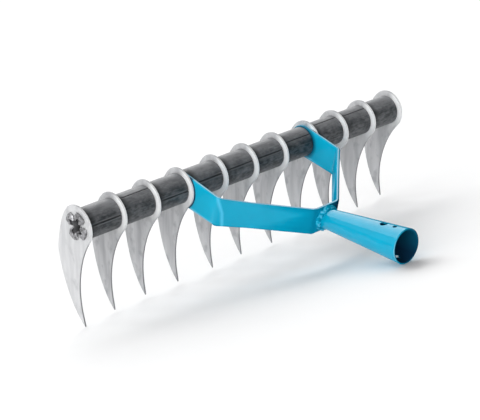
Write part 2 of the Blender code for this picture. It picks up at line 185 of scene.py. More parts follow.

# The paint: the width of its painted shadow beside a spacer, where that fades beside a ring, and where the
# painted highlight fades beside the crease
SPACER_SHADOW = 0.004
RING_SHADOW_FADES = (0.0007, 0.0017)
CREASE_FADES = (0.0002, 0.0020)
# Its depth, which mostly carries painted light and shade: -1 gives the full painted highlight, 0 the plain
# paint, 1 the deep paint as painted shade and 2 the painted shade of the socket's bore
FULL_PAINTED_HIGHLIGHT = -1.0
TOP_EDGE_HIGHLIGHT = -0.4
EYE_EDGE_HIGHLIGHT = -0.2
BOTTOM_EDGE_SHADE = 0.75
FOOT_SHADE = 1.4
EYE_END_SHADE = 0.5
BORE_SHADE = 2.0
# How far painted shade reaches at a foot, beside the centre flat, at the other bends and at the socket's root
FOOT_SHADE_REACH = 0.004
CENTRE_SHADE_REACH = 0.0035
BEND_SHADE_REACH = 0.0020
ROOT_SHADE_REACH = 0.005
# How far the painted glint reaches round the lower screw hole, in hole radii, and how far the plain paint
# turns into the mouth
GLINT_ROUND_SCREW = 1.3
RIM_PAINT_REACH = 0.001
# The crease beside the left knee, along which a painted highlight lies: its place along the strip, and its
# slant above and below the strip's middle
CREASE_FROM_KNEE = 0.0013
CREASE_SLANT = 0.36
CREASE_SLANT_BELOW = 0.11

# The weld: grains of its lumps in a metre, their mean level, and the radius and sizes of its spatter
LUMP_SCALE = 330.0
LUMP_LEVEL = 0.45
SPATTER_RADIUS = 0.00045
SPATTER_SIZES = (0.5, 1.2)

# The photograph's camera, in the head's own frame, for an image of 480 by 420 pixels
CAMERA_PLACE = Vector((-0.90710, -0.95115, 0.56885))
CAMERA_AZIMUTH = math.radians(43.471)
CAMERA_ELEVATION = math.radians(24.972)
CAMERA_FOCAL_PIXELS = 1716.4
IMAGE_WIDTH_PIXELS = 480
SENSOR_WIDTH_MM = 36.0

# The side of the studio that is left dim, to the right of the photograph's camera, and where it fades
DIM_SIDE = Vector((0.85, -0.53, 0.0))
DIM_FADES = (-0.3, 0.5)
# The heights between which the surroundings go over from the horizon to the haze overhead
HORIZON_FADES = (0.05, 0.40)
# Half the height of each soft box at unit distance and how far its sides fade; top and bottom fade alike
SOFT_BOXES = {"key": (0.35, 0.06), "back": (0.40, 0.02)}
BOX_TOP_FADE = 0.14


# The head's place in the frame

def head_lean():
    """How far the whole head leans back, read from the direction that the socket's mouth faces."""
    axis = frame["record"]["mounts"][0]["axis"]
    return math.atan2(-axis[2], -axis[1]) + SOCKET_RISE


def row_of(kind):
    """The nodes of a row of like pieces from the left, where each one starts in X, and its length."""
    nodes = sorted(n for n in frame["nodes"] if n.startswith(kind))
    starts = [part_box(n)[0].x for n in nodes]
    return nodes, starts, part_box(nodes[0])[1].x - starts[0]


LEAN = head_lean()
SHAFT_MIDDLE = sum(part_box("shaft"), Vector()) / 2
HEAD = Matrix.Translation(SHAFT_MIDDLE) @ Matrix.Rotation(LEAN, 4, "X")
TINES, TINE_FACES, TINE_THICKNESS = row_of("tine_")
SPACERS, SPACER_FACES, SPACER_LENGTH = row_of("spacer_")
STACK_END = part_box(TINES[-1])[1].x
EYE_X = TINE_FACES[TINE_PAST_EYE] - SEAT_GAP - STRIP_THICKNESS / 2


def sloping(angle):
    """The directions along and across something that points at the handle and slopes down at this angle."""
    return Vector((0, -math.cos(angle), -math.sin(angle))), Vector((0, -math.sin(angle), math.cos(angle)))


SIDEWAYS = Vector((1, 0, 0))
ALONG_YOKE, ACROSS_YOKE = sloping(YOKE_SLOPE)
ALONG_SOCKET, ACROSS_SOCKET = sloping(-SOCKET_RISE)
ALONG_HOLES = Matrix.Rotation(HOLES_TURN, 3, ALONG_SOCKET) @ ACROSS_SOCKET
SOCKET_ROOT = (YOKE_REACH + STRIP_THICKNESS / 2) * ALONG_YOKE


# Settings

def a_colour(name, description, rgb):
    return FloatVectorProperty(name=name, description=description, default=rgb, min=0, max=1, subtype="COLOR")


def a_length(name, description, default, low, high):
    return FloatProperty(name=name, description=description, default=default, min=low, max=high,
                         precision=5, unit="LENGTH")


def a_share(name, description, default, low=0, high=1):
    return FloatProperty(name=name, description=description, default=default, min=low, max=high,
                         subtype="FACTOR")


def an_angle(name, description, degrees):
    return FloatProperty(name=name, description=description, default=math.radians(degrees), subtype="ANGLE")


def a_number(name, description, default):
    return FloatProperty(name=name, description=description, default=default, min=0)


class RakeTineSettings(bpy.types.PropertyGroup):
    """Edges and steel of the tines"""

    edge_round: a_length("Edge rounding", "Radius of each plate's tumbled edges", 0.00035, 0.0001, 0.0006)
    steel: a_colour("Steel", "Colour of the clean ground steel", (0.64, 0.645, 0.655))
    # Also the colour of the painted shade that dulls every tine past the first
    dull_and_shaded_steel: a_colour("Dull steel", "Colour of its duller streaks", (0.36, 0.365, 0.38))
    sheared_steel: a_colour("Sheared steel", "Colour of the sheared edges", (0.26, 0.265, 0.275))
    # The colour of the painted highlight round each ring on the handle's side
    ring_highlight_steel: a_colour("Rubbed steel", "Colour rubbed bright round the rings", (0.90, 0.905, 0.91))
    roughness: a_share("Roughness", "Mean roughness of the ground faces", 0.52)


class RakeSpacerSettings(bpy.types.PropertyGroup):
    """Moulding details of the spacers"""

    edge_round: a_length("Edge rounding", "Radius of the rounded end edges", 0.0007, 0.0002, 0.0015)
    seam_depth: a_length("Seam depth", "Depth of the mould seam's groove", 0.0003, 0, 0.0005)
    seam_width: a_length("Seam width", "Width of the mould seam with its lips", 0.0034, 0.0004, 0.005)
    plastic: a_colour("Plastic", "Colour of the black plastic", (0.022, 0.026, 0.030))
    # Also the colour of the painted sheen on the spacers' tops and of the painted highlight on the seam's
    # lips
    scuffed_and_lit_plastic: a_colour("Scuffed plastic", "Colour where it is scuffed and dusty", (0.215, 0.22, 0.23))


class RakeShaftSettings(bpy.types.PropertyGroup):
    """Folded ends and steel of the shaft"""

    edge_round: a_length("Edge rounding", "Radius of the sheared edges of the tabs", 0.0002, 0.00005, 0.0004)
    tab_spread: a_share("Tab spread", "Times by which hammering widened each tab", 1.6, 1, 1.7)
    steel: a_colour("Steel", "Colour of the drawn steel", (0.27, 0.27, 0.28))
    bore: a_colour("Bore", "Colour of the dull steel just inside", (0.22, 0.22, 0.23))


class RakePaintSettings(bpy.types.PropertyGroup):
    """Painted pieces: yoke, socket and weld"""

    edge_round: a_length("Edge rounding", "Radius of the strip's painted edges", 0.0011, 0.0003, 0.0014)
    rim_round: a_length("Rim rounding", "Radius of the socket's painted rims", 0.0005, 0.0001, 0.0008)
    bend_swell: a_share("Bend swell", "Share by which the strip widens at its bends", 0.04, 0, 0.1)
    paint: a_colour("Paint", "Colour of the light blue paint", (0.002, 0.41, 0.625))
    # Mostly the colour of painted shade on the strip, the socket and the weld
    deep_paint_and_shade: a_colour("Deep paint", "Colour where the paint has run together", (0.002, 0.225, 0.37))
    # The colour of the painted shade in the socket's bore and of the painted shadow beside rings and spacers
    bore: a_colour("Bore", "Colour of the raw dark bore", (0.005, 0.034, 0.078))
    # The colour of the painted highlight along the crease at the left knee
    crease_highlight_colour: a_colour("Stretched paint", "Colour where bending thinned the paint", (0.10, 0.60, 0.86))
    # The colour of the painted highlights on the strip's edges, the socket's rim, the weld and round the
    # lower screw hole
    painted_highlight: a_colour("Bare steel", "Colour where the paint is worn off", (0.92, 0.95, 0.97))
    roughness: a_share("Roughness", "Roughness of the paint under its gloss", 0.30)


class RakeWeldSettings(bpy.types.PropertyGroup):
    """Bead and spatter of the weld"""

    bead_width: a_length("Bead width", "Width of the bead on the strip", 0.0026, 0.001, 0.004)
    bead_height: a_length("Bead height", "Height of the bead up the socket", 0.0030, 0.001, 0.005)
    ripples: IntProperty(name="Ripples", description="Ripples round the bead", default=23, min=6, max=60)
    ripple_depth: a_length("Ripple depth", "Depth of the ripples", 0.00035, 0, 0.001)
    lump_depth: a_length("Lump depth", "Height of the uneven lumps", 0.0009, 0, 0.0020)
    spatter: IntProperty(name="Spatter", description="Beads of spatter", default=26, min=0, max=80)
    seed: IntProperty(name="Seed", description="Seed of the lumps and the spatter", default=4, min=0)


class RakeStageSettings(bpy.types.PropertyGroup):
    """Floor and light"""

    floor: a_colour("Floor", "Colour of the pale floor", (0.93, 0.93, 0.932))
    floor_size: a_length("Floor size", "Side of the square floor", 60.0, 1, 200)
    haze: a_number("Surroundings", "Brightness of the surroundings overhead", 0.75)
    horizon: a_number("Horizon", "Brightness of the surroundings near the floor", 0.95)
    dim_share: a_share("Dim side", "Share of the light left on the dim front right side", 0.08)
    backdrop: a_number("Backdrop", "Brightness of the backdrop that the camera sees", 1.0)
    key: a_number("Key light", "Brightness of the soft box on the left", 2.15)
    key_turn: an_angle("Key turn", "Compass turn of the key light, from +Y towards +X", -118)
    key_rise: an_angle("Key rise", "Height of the key light over the horizon", 15)
    key_spread: a_number("Key spread", "Half the width of the key light at unit distance", 0.8)
    back: a_number("Back light", "Brightness of the wide soft box behind the head", 3.4)
    back_turn: an_angle("Back turn", "Compass turn of the back light, from +Y towards +X", 16)
    back_rise: an_angle("Back rise", "Height of the back light over the horizon", 42)
    back_spread: a_number("Back spread", "Half the width of the back light at unit distance", 0.62)


SETTINGS = {
    "rake_tines": RakeTineSettings,
    "rake_spacers": RakeSpacerSettings,
    "rake_shaft": RakeShaftSettings,
    "rake_paint": RakePaintSettings,
    "rake_weld": RakeWeldSettings,
    "rake_stage": RakeStageSettings,
}


# Shares and outlines

def bump(distance, width):
    """A soft rise to 1 where the distance is nought, falling away over this width."""
    return math.exp(-(distance / width) ** 2)


def ramp(value, low, high):
    """A share that rises from 0 to 1 between these values."""
    return min(max((value - low) / (high - low), 0.0), 1.0)


def on_circle(radius, angle):
    return radius * Vector((math.cos(angle), math.sin(angle)))


def quarter_turn(steps):
    return [math.pi / 2 * i / steps for i in range(steps + 1)]


def full_turn(steps):
    return [math.tau * i / steps for i in range(steps)]


def bezier(start, start_handle, end_handle, end):
    """Points of one curved edge, without its last point."""
    return [p.to_2d() for p in interpolate_bezier(start, start_handle, end_handle, end, EDGE_POINTS)][:-1]


def tine_outline():
    """The outline of a tine as (Y, Z), with its ring round the shaft and its blade hanging down."""
    tip = Vector((TIP_BACK, -TIP_DROP))
    belly = Vector((BELLY_BACK, -BELLY_DROP))
    throat = Vector((THROAT_BACK, -THROAT_DROP))
    down = Vector((0, -1))
    sweep = FRONT_LEAVES_RING - BACK_LEAVES_RING
    ring = [on_circle(RING_RADIUS, BACK_LEAVES_RING + sweep * i / RING_POINTS) for i in range(RING_POINTS)]
    front = on_circle(RING_RADIUS, FRONT_LEAVES_RING)
    leave, rise, fall, land = FRONT_REACHES
    along_ring = on_circle(leave, FRONT_LEAVES_RING + math.pi / 2)
    front_edge = bezier(front, front + along_ring, throat - rise * down, throat)
    front_edge += bezier(throat, throat + fall * down, tip + on_circle(land, FRONT_TIP_ANGLE), tip)
    back = on_circle(RING_RADIUS, BACK_LEAVES_RING)
    leave, rise, fall, land = BACK_REACHES
    along_ring = on_circle(leave, BACK_LEAVES_RING - math.pi / 2)
    back_edge = bezier(tip, tip + on_circle(land, BACK_TIP_ANGLE), belly + fall * down, belly)
    back_edge += bezier(belly, belly - rise * down, back + along_ring, back)
    return ring + front_edge + back_edge


def lobed_outline(offset):
    """The shaft's lobed outline as (Y, Z), grown by offset, with one point in each valley between tabs."""
    middle = (LOBE_REACH + LOBE_VALLEY) / 2
    swell = (LOBE_REACH - LOBE_VALLEY) / 2
    half_lobe = math.pi / LOBE_COUNT
    half_tab = half_lobe - TAB_SLIT / 2
    points = []
    for crown in full_turn(LOBE_COUNT):
        angles = [crown + half_tab * (2 * i / (LOBE_POINTS - 1) - 1) for i in range(LOBE_POINTS)]
        for angle in angles + [crown + half_lobe]:
            wave = LOBE_COUNT * angle
            radius = middle + swell * math.cos(wave)
            slope = math.atan2(LOBE_COUNT * swell * math.sin(wave), radius)
            points.append(on_circle(radius, angle + LOBE_TURN) + on_circle(offset, angle + LOBE_TURN + slope))
    return points


def inset_outline(points, distance):
    """An outline that runs anticlockwise, drawn in by distance square to its edges."""
    if not distance:
        return points
    drawn_in = []
    for i, point in enumerate(points):
        before = (point - points[i - 1]).normalized()
        after = (points[(i + 1) % len(points)] - point).normalized()
        normal = Vector((-before.y - after.y, before.x + after.x)).normalized()
        lean = max(normal.dot(Vector((-after.y, after.x))), SHARPEST_TURN)
        drawn_in.append(point + distance / lean * normal)
    return drawn_in


def rounding(edge, thickness):
    """Heights through a plate and the inset of its rim at each, for edges of this radius."""
    quarter = quarter_turn(ROUND_STEPS)
    low = [(edge * (1 - math.sin(a)), edge * (1 - math.cos(a))) for a in reversed(quarter)]
    return low + [(thickness - height, inset) for height, inset in reversed(low)]


# Meshes

def ring_of(bm, points):
    return [bm.verts.new(p) for p in points]


def raised(outline, x):
    """An outline in (Y, Z) at this X."""
    return [(x, p.x, p.y) for p in outline]


def join_rings(bm, rings, closed=False):
    """Bands of quads from each ring of points to the next, and from the last to the first if they close."""
    for k in range(0 if closed else 1, len(rings)):
        low, high = rings[k - 1], rings[k]
        for i in range(len(low)):
            j = (i + 1) % len(low)
            bm.faces.new((low[i], low[j], high[j], high[i]))


def cut_through(bm, place, normal, **options):
    """Cuts a mesh along a plane, and returns what lies on the cut."""
    everything = bm.verts[:] + bm.edges[:] + bm.faces[:]
    cut = bmesh.ops.bisect_plane(bm, geom=everything, plane_co=place, plane_no=normal, **options)
    return cut["geom_cut"]


def shade(mesh, sharp_angle=SHARP_ANGLE, flat_along=None):
    """Smooth shading, with flat faces square to one direction left flat."""
    mesh.shade_smooth()
    mesh.set_sharp_from_angle(angle=sharp_angle)
    if flat_along is not None:
        for face in mesh.polygons:
            if abs(face.normal.dot(flat_along)) > SQUARE_ENOUGH:
                face.use_smooth = False


def face_out(bm):
    bmesh.ops.recalc_face_normals(bm, faces=bm.faces[:])


def mesh_from(bm, name, sharp_angle=SHARP_ANGLE):
    mesh = bpy.data.meshes.new(name)
    bm.to_mesh(mesh)
    bm.free()
    shade(mesh, sharp_angle)
    return mesh


def capped_mesh(bm, rings, name):
    """A solid through a row of rings, with a flat face at each end."""
    join_rings(bm, rings)
    bm.faces.new(rings[0])
    bm.faces.new(rings[-1])
    face_out(bm)
    return mesh_from(bm, name)


def mark_points(mesh, label, values):
    """Holds one number at each point of a mesh."""
    mesh.attributes.new(label, "FLOAT", "POINT").data.foreach_set("value", values)


def evaluated_mesh(piece):
    graph = bpy.context.evaluated_depsgraph_get()
    return bpy.data.meshes.new_from_object(piece.evaluated_get(graph))


def add_object(name, mesh):
    piece = bpy.data.objects.new(name, mesh)
    bpy.context.scene.collection.objects.link(piece)
    return piece


def place_piece(name, mesh, finish, slot, *nodes):
    """Carries a mesh from the head's frame to its place, and lets it stand for its CAD nodes."""
    mesh.transform(HEAD)
    mesh.materials.clear()
    mesh.materials.append(finish)
    piece = add_object(name, mesh)
    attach(piece, BODY)
    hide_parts(*nodes)
    return piece


# Nodes

def feed(node, values):
    """Each of these inputs takes a value or another node's output."""
    for key, value in values.items():
        if isinstance(value, bpy.types.NodeSocket):
            node.id_data.links.new(value, node.inputs[key])
        else:
            node.inputs[key].default_value = value


def add_node(where, kind, values=None, **settings):
    """A new node in this tree, or in the tree of this node or socket, with its inputs fed."""
    node = where.id_data.nodes.new(kind)
    for key, value in settings.items():
        setattr(node, key, value)
    feed(node, values or {})
    return node


def maths(operation, first, *others):
    """Reckons with a node's output and each of the other values in turn."""
    for other in others or (0.0,):
        first = add_node(first, "ShaderNodeMath", {0: first, 1: other}, operation=operation).outputs[0]
    return first


times = partial(maths, "MULTIPLY")
plus = partial(maths, "ADD")
largest = partial(maths, "MAXIMUM")
size_of = partial(maths, "ABSOLUTE")


def apart_from(value, place):
    """How far a value lies from this one, on either side."""
    return size_of(maths("SUBTRACT", value, place))


def spread(value, low, high, to_low=0.0, to_high=1.0):
    """Maps a value's range onto another, held within its ends."""
    ends = {"Value": value, "From Min": low, "From Max": high, "To Min": to_low, "To Max": to_high}
    return add_node(value, "ShaderNodeMapRange", ends).outputs["Result"]


def between(share, first, second):
    """A number that goes over from the first to the second as the share rises."""
    return add_node(share, "ShaderNodeMix", {0: share, 2: first, 3: second}).outputs[0]


def layered(base, *layers):
    """A colour with others laid over it, each as the share of it that covers and its colour."""
    for share, cover in layers:
        under, over = [c if isinstance(c, bpy.types.NodeSocket) else (*c, 1.0) for c in (base, cover)]
        base = add_node(share, "ShaderNodeMix", {0: share, 6: under, 7: over}, data_type="RGBA").outputs[2]
    return base


def along(look, direction):
    """How far a place lies along a direction."""
    dot = add_node(look, "ShaderNodeVectorMath", {0: look, 1: direction}, operation="DOT_PRODUCT")
    return dot.outputs["Value"]


def axes_of(coords):
    return add_node(coords, "ShaderNodeSeparateXYZ", {0: coords}).outputs


def vector_of(where, **axes):
    return add_node(where, "ShaderNodeCombineXYZ", axes).outputs[0]


def new_geometry_tree(name, inputs):
    """A tree from a geometry and its named inputs to a geometry, as its inputs and its last node."""
    tree = bpy.data.node_groups.new(name, "GeometryNodeTree")
    tree.is_modifier = True
    for label, kind in {"Geometry": "NodeSocketGeometry", **inputs}.items():
        tree.interface.new_socket(label, in_out="INPUT", socket_type=kind)
    tree.interface.new_socket("Geometry", in_out="OUTPUT", socket_type="NodeSocketGeometry")
    return add_node(tree, "NodeGroupInput").outputs, add_node(tree, "NodeGroupOutput")


def finish_geometry_tree(geometry, finish, end):
    """Every tree ends in real geometry with its finish set."""
    real = add_node(end, "GeometryNodeRealizeInstances", {"Geometry": geometry}).outputs[0]
    coated = add_node(end, "GeometryNodeSetMaterial", {"Geometry": real, "Material": finish}).outputs[0]
    feed(end, {0: coated})
    return end.id_data


def stored(where, name):
    """A number that a mesh holds at each point, for a geometry tree."""
    return add_node(where, "GeometryNodeInputNamedAttribute", {"Name": name}).outputs["Attribute"]


def run_tree(tree, base, values, name):
    """The plain mesh that a tree makes of a base mesh, with its inputs set before it is first evaluated."""
    carrier = bpy.data.objects.new(name, base)
    modifier = carrier.modifiers.new(tree.name, "NODES")
    modifier.node_group = tree
    for item in tree.interface.items_tree:
        if item.item_type == "SOCKET" and item.in_out == "INPUT" and item.name in values:
            modifier[item.identifier] = values[item.name]
    bpy.context.scene.collection.objects.link(carrier)
    mesh = evaluated_mesh(carrier)
    carrier.modifiers.remove(modifier)
    bpy.data.objects.remove(carrier)
    mesh.name = name
    return mesh


# Finishes

def new_finish(name, values, on_head=True):
    """A finish with constants on its shader, as itself, its shader and coordinates along the head's axes."""
    finish = bpy.data.materials.new(name)
    finish.use_nodes = True
    shader = finish.node_tree.nodes["Principled BSDF"]
    feed(shader, values)
    coords = add_node(shader, "ShaderNodeTexCoord").outputs["Object"]
    if on_head:
        turned = {"Vector": coords, "Location": SHAFT_MIDDLE, "Rotation": (LEAN, 0, 0)}
        coords = add_node(coords, "ShaderNodeMapping", turned, vector_type="TEXTURE").outputs["Vector"]
    return finish, shader, coords


def noise(coords, grain):
    """Noise from 0 to 1 with one of the grains."""
    size, detail, seed = GRAIN[grain]
    place = {"Vector": coords, "Location": (seed, seed, seed), "Scale": [1 / s for s in size]}
    scaled = add_node(coords, "ShaderNodeMapping", place).outputs["Vector"]
    texture = {"Vector": scaled, "Scale": 1.0, "Detail": detail}
    return add_node(coords, "ShaderNodeTexNoise", texture).outputs["Fac"]


def mark(where, name):
    """A number that a mesh holds at each point, for a finish."""
    return add_node(where, "ShaderNodeAttribute", attribute_name=name).outputs["Fac"]


def shaft_reach(coords):
    """Distance from the shaft's axis."""
    axes = axes_of(coords)
    flat = vector_of(coords, Y=axes["Y"], Z=axes["Z"])
    return add_node(coords, "ShaderNodeVectorMath", {0: flat}, operation="LENGTH").outputs["Value"]


def relief(shader, *layers):
    """Bumps laid over each other, each a height from 0 to 1 and its depth."""
    values = {}
    for height, depth in layers:
        values.update({"Height": height, "Distance": depth, "Strength": 1.0})
        values["Normal"] = add_node(shader, "ShaderNodeBump", values).outputs["Normal"]
    feed(shader, {"Normal": values["Normal"]})


def blade_steel(settings):
    """Dull zinc-coated sheet, streaked and blotched down each blade, with painted shade on every tine past
    the first and along the middle of each rounded edge, and a painted highlight round each ring.
    """
    finish, shader, coords = new_finish("rake_blade_steel", {})
    drift = vector_of(coords, Y=times(noise(coords, "steel_wander"), STREAK_WANDER))
    warped = add_node(coords, "ShaderNodeVectorMath", {0: coords, 1: drift}, operation="ADD").outputs[0]
    broad = noise(warped, "steel_streak")
    fine = noise(warped, "steel_brush")
    streak = plus(times(broad, 0.8), times(fine, 0.2))
    stained = largest(spread(streak, 0.36, 0.66, 0.0, 0.7), spread(noise(coords, "steel_stain"), 0.50, 0.70))
    axes = axes_of(coords)
    sheared = mark(coords, "sheared")
    past_first = maths("GREATER_THAN", axes["X"], TINE_FACES[0] + TINE_THICKNESS / 2)
    # Painted highlight: near each ring, mostly on the handle's side and above the blade, on every tine past
    # the first and on the first tine's edges
    near_ring = spread(shaft_reach(coords), *RING_HIGHLIGHT_FADES_PAST, 1.0, 0.0)
    handle_side = spread(axes["Y"], *RING_HIGHLIGHT_FADES_ALONG_Y, 1.0, 0.12)
    above_blade = spread(axes["Z"], *RING_HIGHLIGHT_FADES_ALONG_Z, 0.3, 1.0)
    highlit_parts = largest(past_first, spread(sheared, 0.6, 0.9))
    ring_highlight = times(near_ring, times(handle_side, above_blade), highlit_parts)
    # Every tine past the first is dulled further: painted shade, on top of the real streaks and stains
    streaks_and_shade = plus(times(stained, spread(past_first, 0.0, 1.0, 0.5, 0.65)), times(past_first, 0.38))
    dull_streaks_and_shade = times(streaks_and_shade, spread(ring_highlight, 0.0, 1.0, 1.0, 0.15))
    cut_edge = times(sheared, spread(ring_highlight, 0.0, 0.8, 1.0, 0.0))
    # A darker line along the middle of each rounded edge: painted shade
    corner = spread(apart_from(sheared, 0.5), 0.1, 0.5, 0.5, 0.0)
    tint = layered(settings.steel, (dull_streaks_and_shade, settings.dull_and_shaded_steel), (times(ring_highlight, 0.9), settings.ring_highlight_steel),
                   (largest(cut_edge, corner), settings.sheared_steel))
    rough = spread(streak, 0.3, 0.7, settings.roughness - 0.06, settings.roughness + 0.10)
    feed(shader, {"Base Color": tint, "Metallic": spread(ring_highlight, 0.0, 1.0, 0.45, 0.0), "Roughness": rough})
    relief(shader, (broad, 0.00012), (fine, 0.00002))
    return finish


def black_plastic(settings):
    """Satin moulded plastic, clouded and scuffed grey, lighter on top with dust and a painted sheen, with
    painted shade beside the rings and in the seam's groove and a painted highlight on the seam's lips.
    """
    finish, shader, coords = new_finish("rake_black_plastic", {"Specular IOR Level": 0.35})
    drawn = noise(coords, "plastic_drawn")
    grain = noise(coords, "plastic_grain")
    cloud = noise(coords, "plastic_cloud")
    smudge = noise(coords, "plastic_smudge")
    seam = mark(coords, "seam")
    from_end = mark(coords, "from_end")
    scuffed = spread(plus(times(drawn, 0.6), plus(cloud, smudge)), 1.10, 1.75, 0.0, 0.6)
    # Lighter towards the top: dust and a painted sheen
    dust_and_sheen = spread(axes_of(coords)["Z"], 0.45 * SPACER_RADIUS, SPACER_RADIUS, 0.0, 0.8)
    # Scuffs, the top's dust and painted sheen, and a painted highlight on the seam's raised lips
    lightened = largest(plus(scuffed, dust_and_sheen), spread(seam, 0.0, 1.0))
    # Painted shade beside the rings at both ends of each spacer, and in the seam's groove
    corner = spread(from_end, *END_SHADE_FADES, 0.8, 0.0)
    far_end_shade = spread(from_end, SPACER_LENGTH - FAR_END_SHADE_WIDTH, SPACER_LENGTH, 0.0, 0.6)
    groove = spread(seam, -0.8, -0.1, 0.95, 0.0)
    painted_shade = largest(corner, far_end_shade, groove)
    tint = layered(settings.plastic, (lightened, settings.scuffed_and_lit_plastic), (painted_shade, SPACER_SHADE_COLOUR))
    feed(shader, {"Base Color": tint, "Roughness": spread(cloud, 0.3, 0.7, 0.40, 0.58)})
    relief(shader, (drawn, 0.00006), (smudge, 0.00008), (grain, 0.00002))
    return finish


def shaft_steel(settings):
    """Painted shade inside its bore, darker away from its open ends, and drawn steel scuffed bright where its
    ends are folded over.
    """
    finish, shader, coords = new_finish("rake_shaft_steel", {})
    drawn = noise(coords, "shaft_drawn")
    scuff = noise(coords, "shaft_scuff")
    steel = Vector(settings.steel)
    scuffed = layered(steel * 0.5, (spread(scuff, 0.35, 0.65), steel * 1.6))
    from_middle = size_of(axes_of(coords)["X"])
    folded = spread(from_middle, STACK_END, STACK_END + TAB_BEGINS)
    # Painted shade: the bore darkens away from its open ends
    lit = spread(from_middle, STACK_END - LIT_BORE, STACK_END)
    tint = layered(DARK_BORE, (lit, settings.bore), (folded, scuffed))
    rough = spread(scuff, 0.3, 0.7, 0.42, 0.26)
    feed(shader, {"Base Color": tint, "Metallic": folded, "Roughness": rough})
    relief(shader, (scuff, 0.00008), (drawn, 0.00002))
    return finish


def blue_paint(settings):
    """Glossy paint whose colour follows the depth that a mesh holds, which carries mostly painted light and
    shade, with painted shadow against rings and spacers and a painted highlight along the crease.
    """
    gloss = {"Coat Roughness": 0.05, "Coat IOR": 1.5, "Specular IOR Level": 0.0}
    finish, shader, coords = new_finish("rake_blue_paint", gloss)
    peel = noise(coords, "paint_peel")
    cloud = noise(coords, "paint_cloud")
    # The mesh's paint depth carries mostly painted light and shade
    depth = mark(coords, "paint_depth")
    deep_share_and_shade = spread(plus(depth, spread(cloud, 0.35, 0.7, 0.0, 0.12)), 0.0, 1.0)
    # A painted highlight along the crease at the left knee
    crease_highlight = spread(apart_from(mark(coords, "crease"), 1.0), *CREASE_FADES, 0.6, 0.0)
    reach = shaft_reach(coords)
    beside_spacer = spread(reach, SPACER_RADIUS, SPACER_RADIUS + SPACER_SHADOW, 0.8, 0.0)
    beside_ring = spread(apart_from(reach, RING_RADIUS), *RING_SHADOW_FADES, 0.95, 0.0)
    outer_side = maths("GREATER_THAN", size_of(axes_of(coords)["X"]), EYE_X)
    shadow = between(outer_side, beside_spacer, beside_ring)
    bore_shade_share = spread(depth, 1.0, BORE_SHADE)
    # A painted highlight where the depth falls below nought
    lightened = spread(depth, FULL_PAINTED_HIGHLIGHT, 0.0, 1.0, 0.0)
    tint = layered(settings.paint, (deep_share_and_shade, settings.deep_paint_and_shade), (bore_shade_share, settings.bore),
                   (crease_highlight, settings.crease_highlight_colour), (lightened, settings.painted_highlight), (shadow, settings.bore))
    rough = spread(cloud, 0.3, 0.7, settings.roughness - 0.05, settings.roughness + 0.07)
    feed(shader, {"Base Color": tint, "Roughness": rough, "Coat Weight": spread(depth, 0.3, 0.6, 0.65, 0.0)})
    relief(shader, (cloud, 0.00008), (peel, 0.00001))
    return finish


def paint_of():
    """The one paint that the yoke, the socket and the weld share."""
    return bpy.data.materials.get("rake_blue_paint") or blue_paint(bpy.context.scene.rake_paint)


def pale_floor(settings):
    """Plain matt floor with a barely visible unevenness."""
    finish, shader, coords = new_finish("pale_floor", {"Roughness": 0.9}, on_head=False)
    speck = noise(coords, "floor_speck")
    feed(shader, {"Base Color": layered(settings.floor, (speck, Vector(settings.floor) * 0.985))})
    return finish


# Tines

def sickle_blank(edge):
    """One tine with rounded edges, before its keyed hole is punched."""
    bm = bmesh.new()
    sheared = bm.verts.layers.float.new("sheared")
    outline = tine_outline()
    rims = []
    for height, inset in rounding(edge, TINE_THICKNESS):
        rim = ring_of(bm, raised(inset_outline(outline, inset), height))
        for vert in rim:
            vert[sheared] = 1 - inset / edge
        rims.append(rim)
    return capped_mesh(bm, rims, "sickle_blank")


def key_punch(length):
    """The lobed punch that cuts a keyed hole through this length."""
    bm = bmesh.new()
    rings = [ring_of(bm, raised(lobed_outline(SEAT_GAP), x)) for x in (-SEAT_GAP, length + SEAT_GAP)]
    return capped_mesh(bm, rings, "key_punch")


def punched_row_tree(name, finish):
    """Turns a copy of the blank at each point and punches its keyed hole in line with the shaft."""
    given, end = new_geometry_tree(name, {"Blank": "NodeSocketObject", "Punch": "NodeSocketObject"})
    about_shaft = vector_of(end, X=stored(end, "turn"))
    rows = []
    for part, turn in (("Blank", {"Rotation": about_shaft}), ("Punch", {})):
        shape = add_node(end, "GeometryNodeObjectInfo", {"Object": given[part]}).outputs["Geometry"]
        threaded = {"Points": given["Geometry"], "Instance": shape, **turn}
        copies = add_node(end, "GeometryNodeInstanceOnPoints", threaded).outputs[0]
        rows.append(add_node(end, "GeometryNodeRealizeInstances", {"Geometry": copies}).outputs[0])
    cut = {"Mesh 1": rows[0], "Mesh 2": rows[1]}
    punched = add_node(end, "GeometryNodeMeshBoolean", cut, operation="DIFFERENCE", solver="EXACT")
    return finish_geometry_tree(punched.outputs["Mesh"], finish, end)


def punched_row(name, blank_mesh, length, faces, turns, finish):
    """The mesh of a row of pieces threaded on the shaft, from one solid blank."""
    blank = add_object(name + "_blank", blank_mesh)
    punch = add_object(name + "_punch", key_punch(length))
    points = bpy.data.meshes.new(name + "_points")
    points.from_pydata([(x, 0, 0) for x in faces], [], [])
    mark_points(points, "turn", [math.radians(turn) for turn in turns])
    mesh = run_tree(punched_row_tree(name + "_row", finish), points, {"Blank": blank, "Punch": punch}, name)
    bpy.data.objects.remove(blank)
    bpy.data.objects.remove(punch)
    shade(mesh, flat_along=SIDEWAYS)
    return mesh


class RAKE_OT_tines(bpy.types.Operator):
    """Makes the row of sickle tines"""

    bl_idname = "rake.tines"
    bl_label = "Tines"

    def execute(self, context):
        settings = context.scene.rake_tines
        finish = blade_steel(settings)
        blank = sickle_blank(settings.edge_round)
        mesh = punched_row("tines", blank, TINE_THICKNESS, TINE_FACES, BLADE_SWINGS, finish)
        place_piece("tines", mesh, finish, "blade_steel", *TINES)
        return {"FINISHED"}


# Spacers

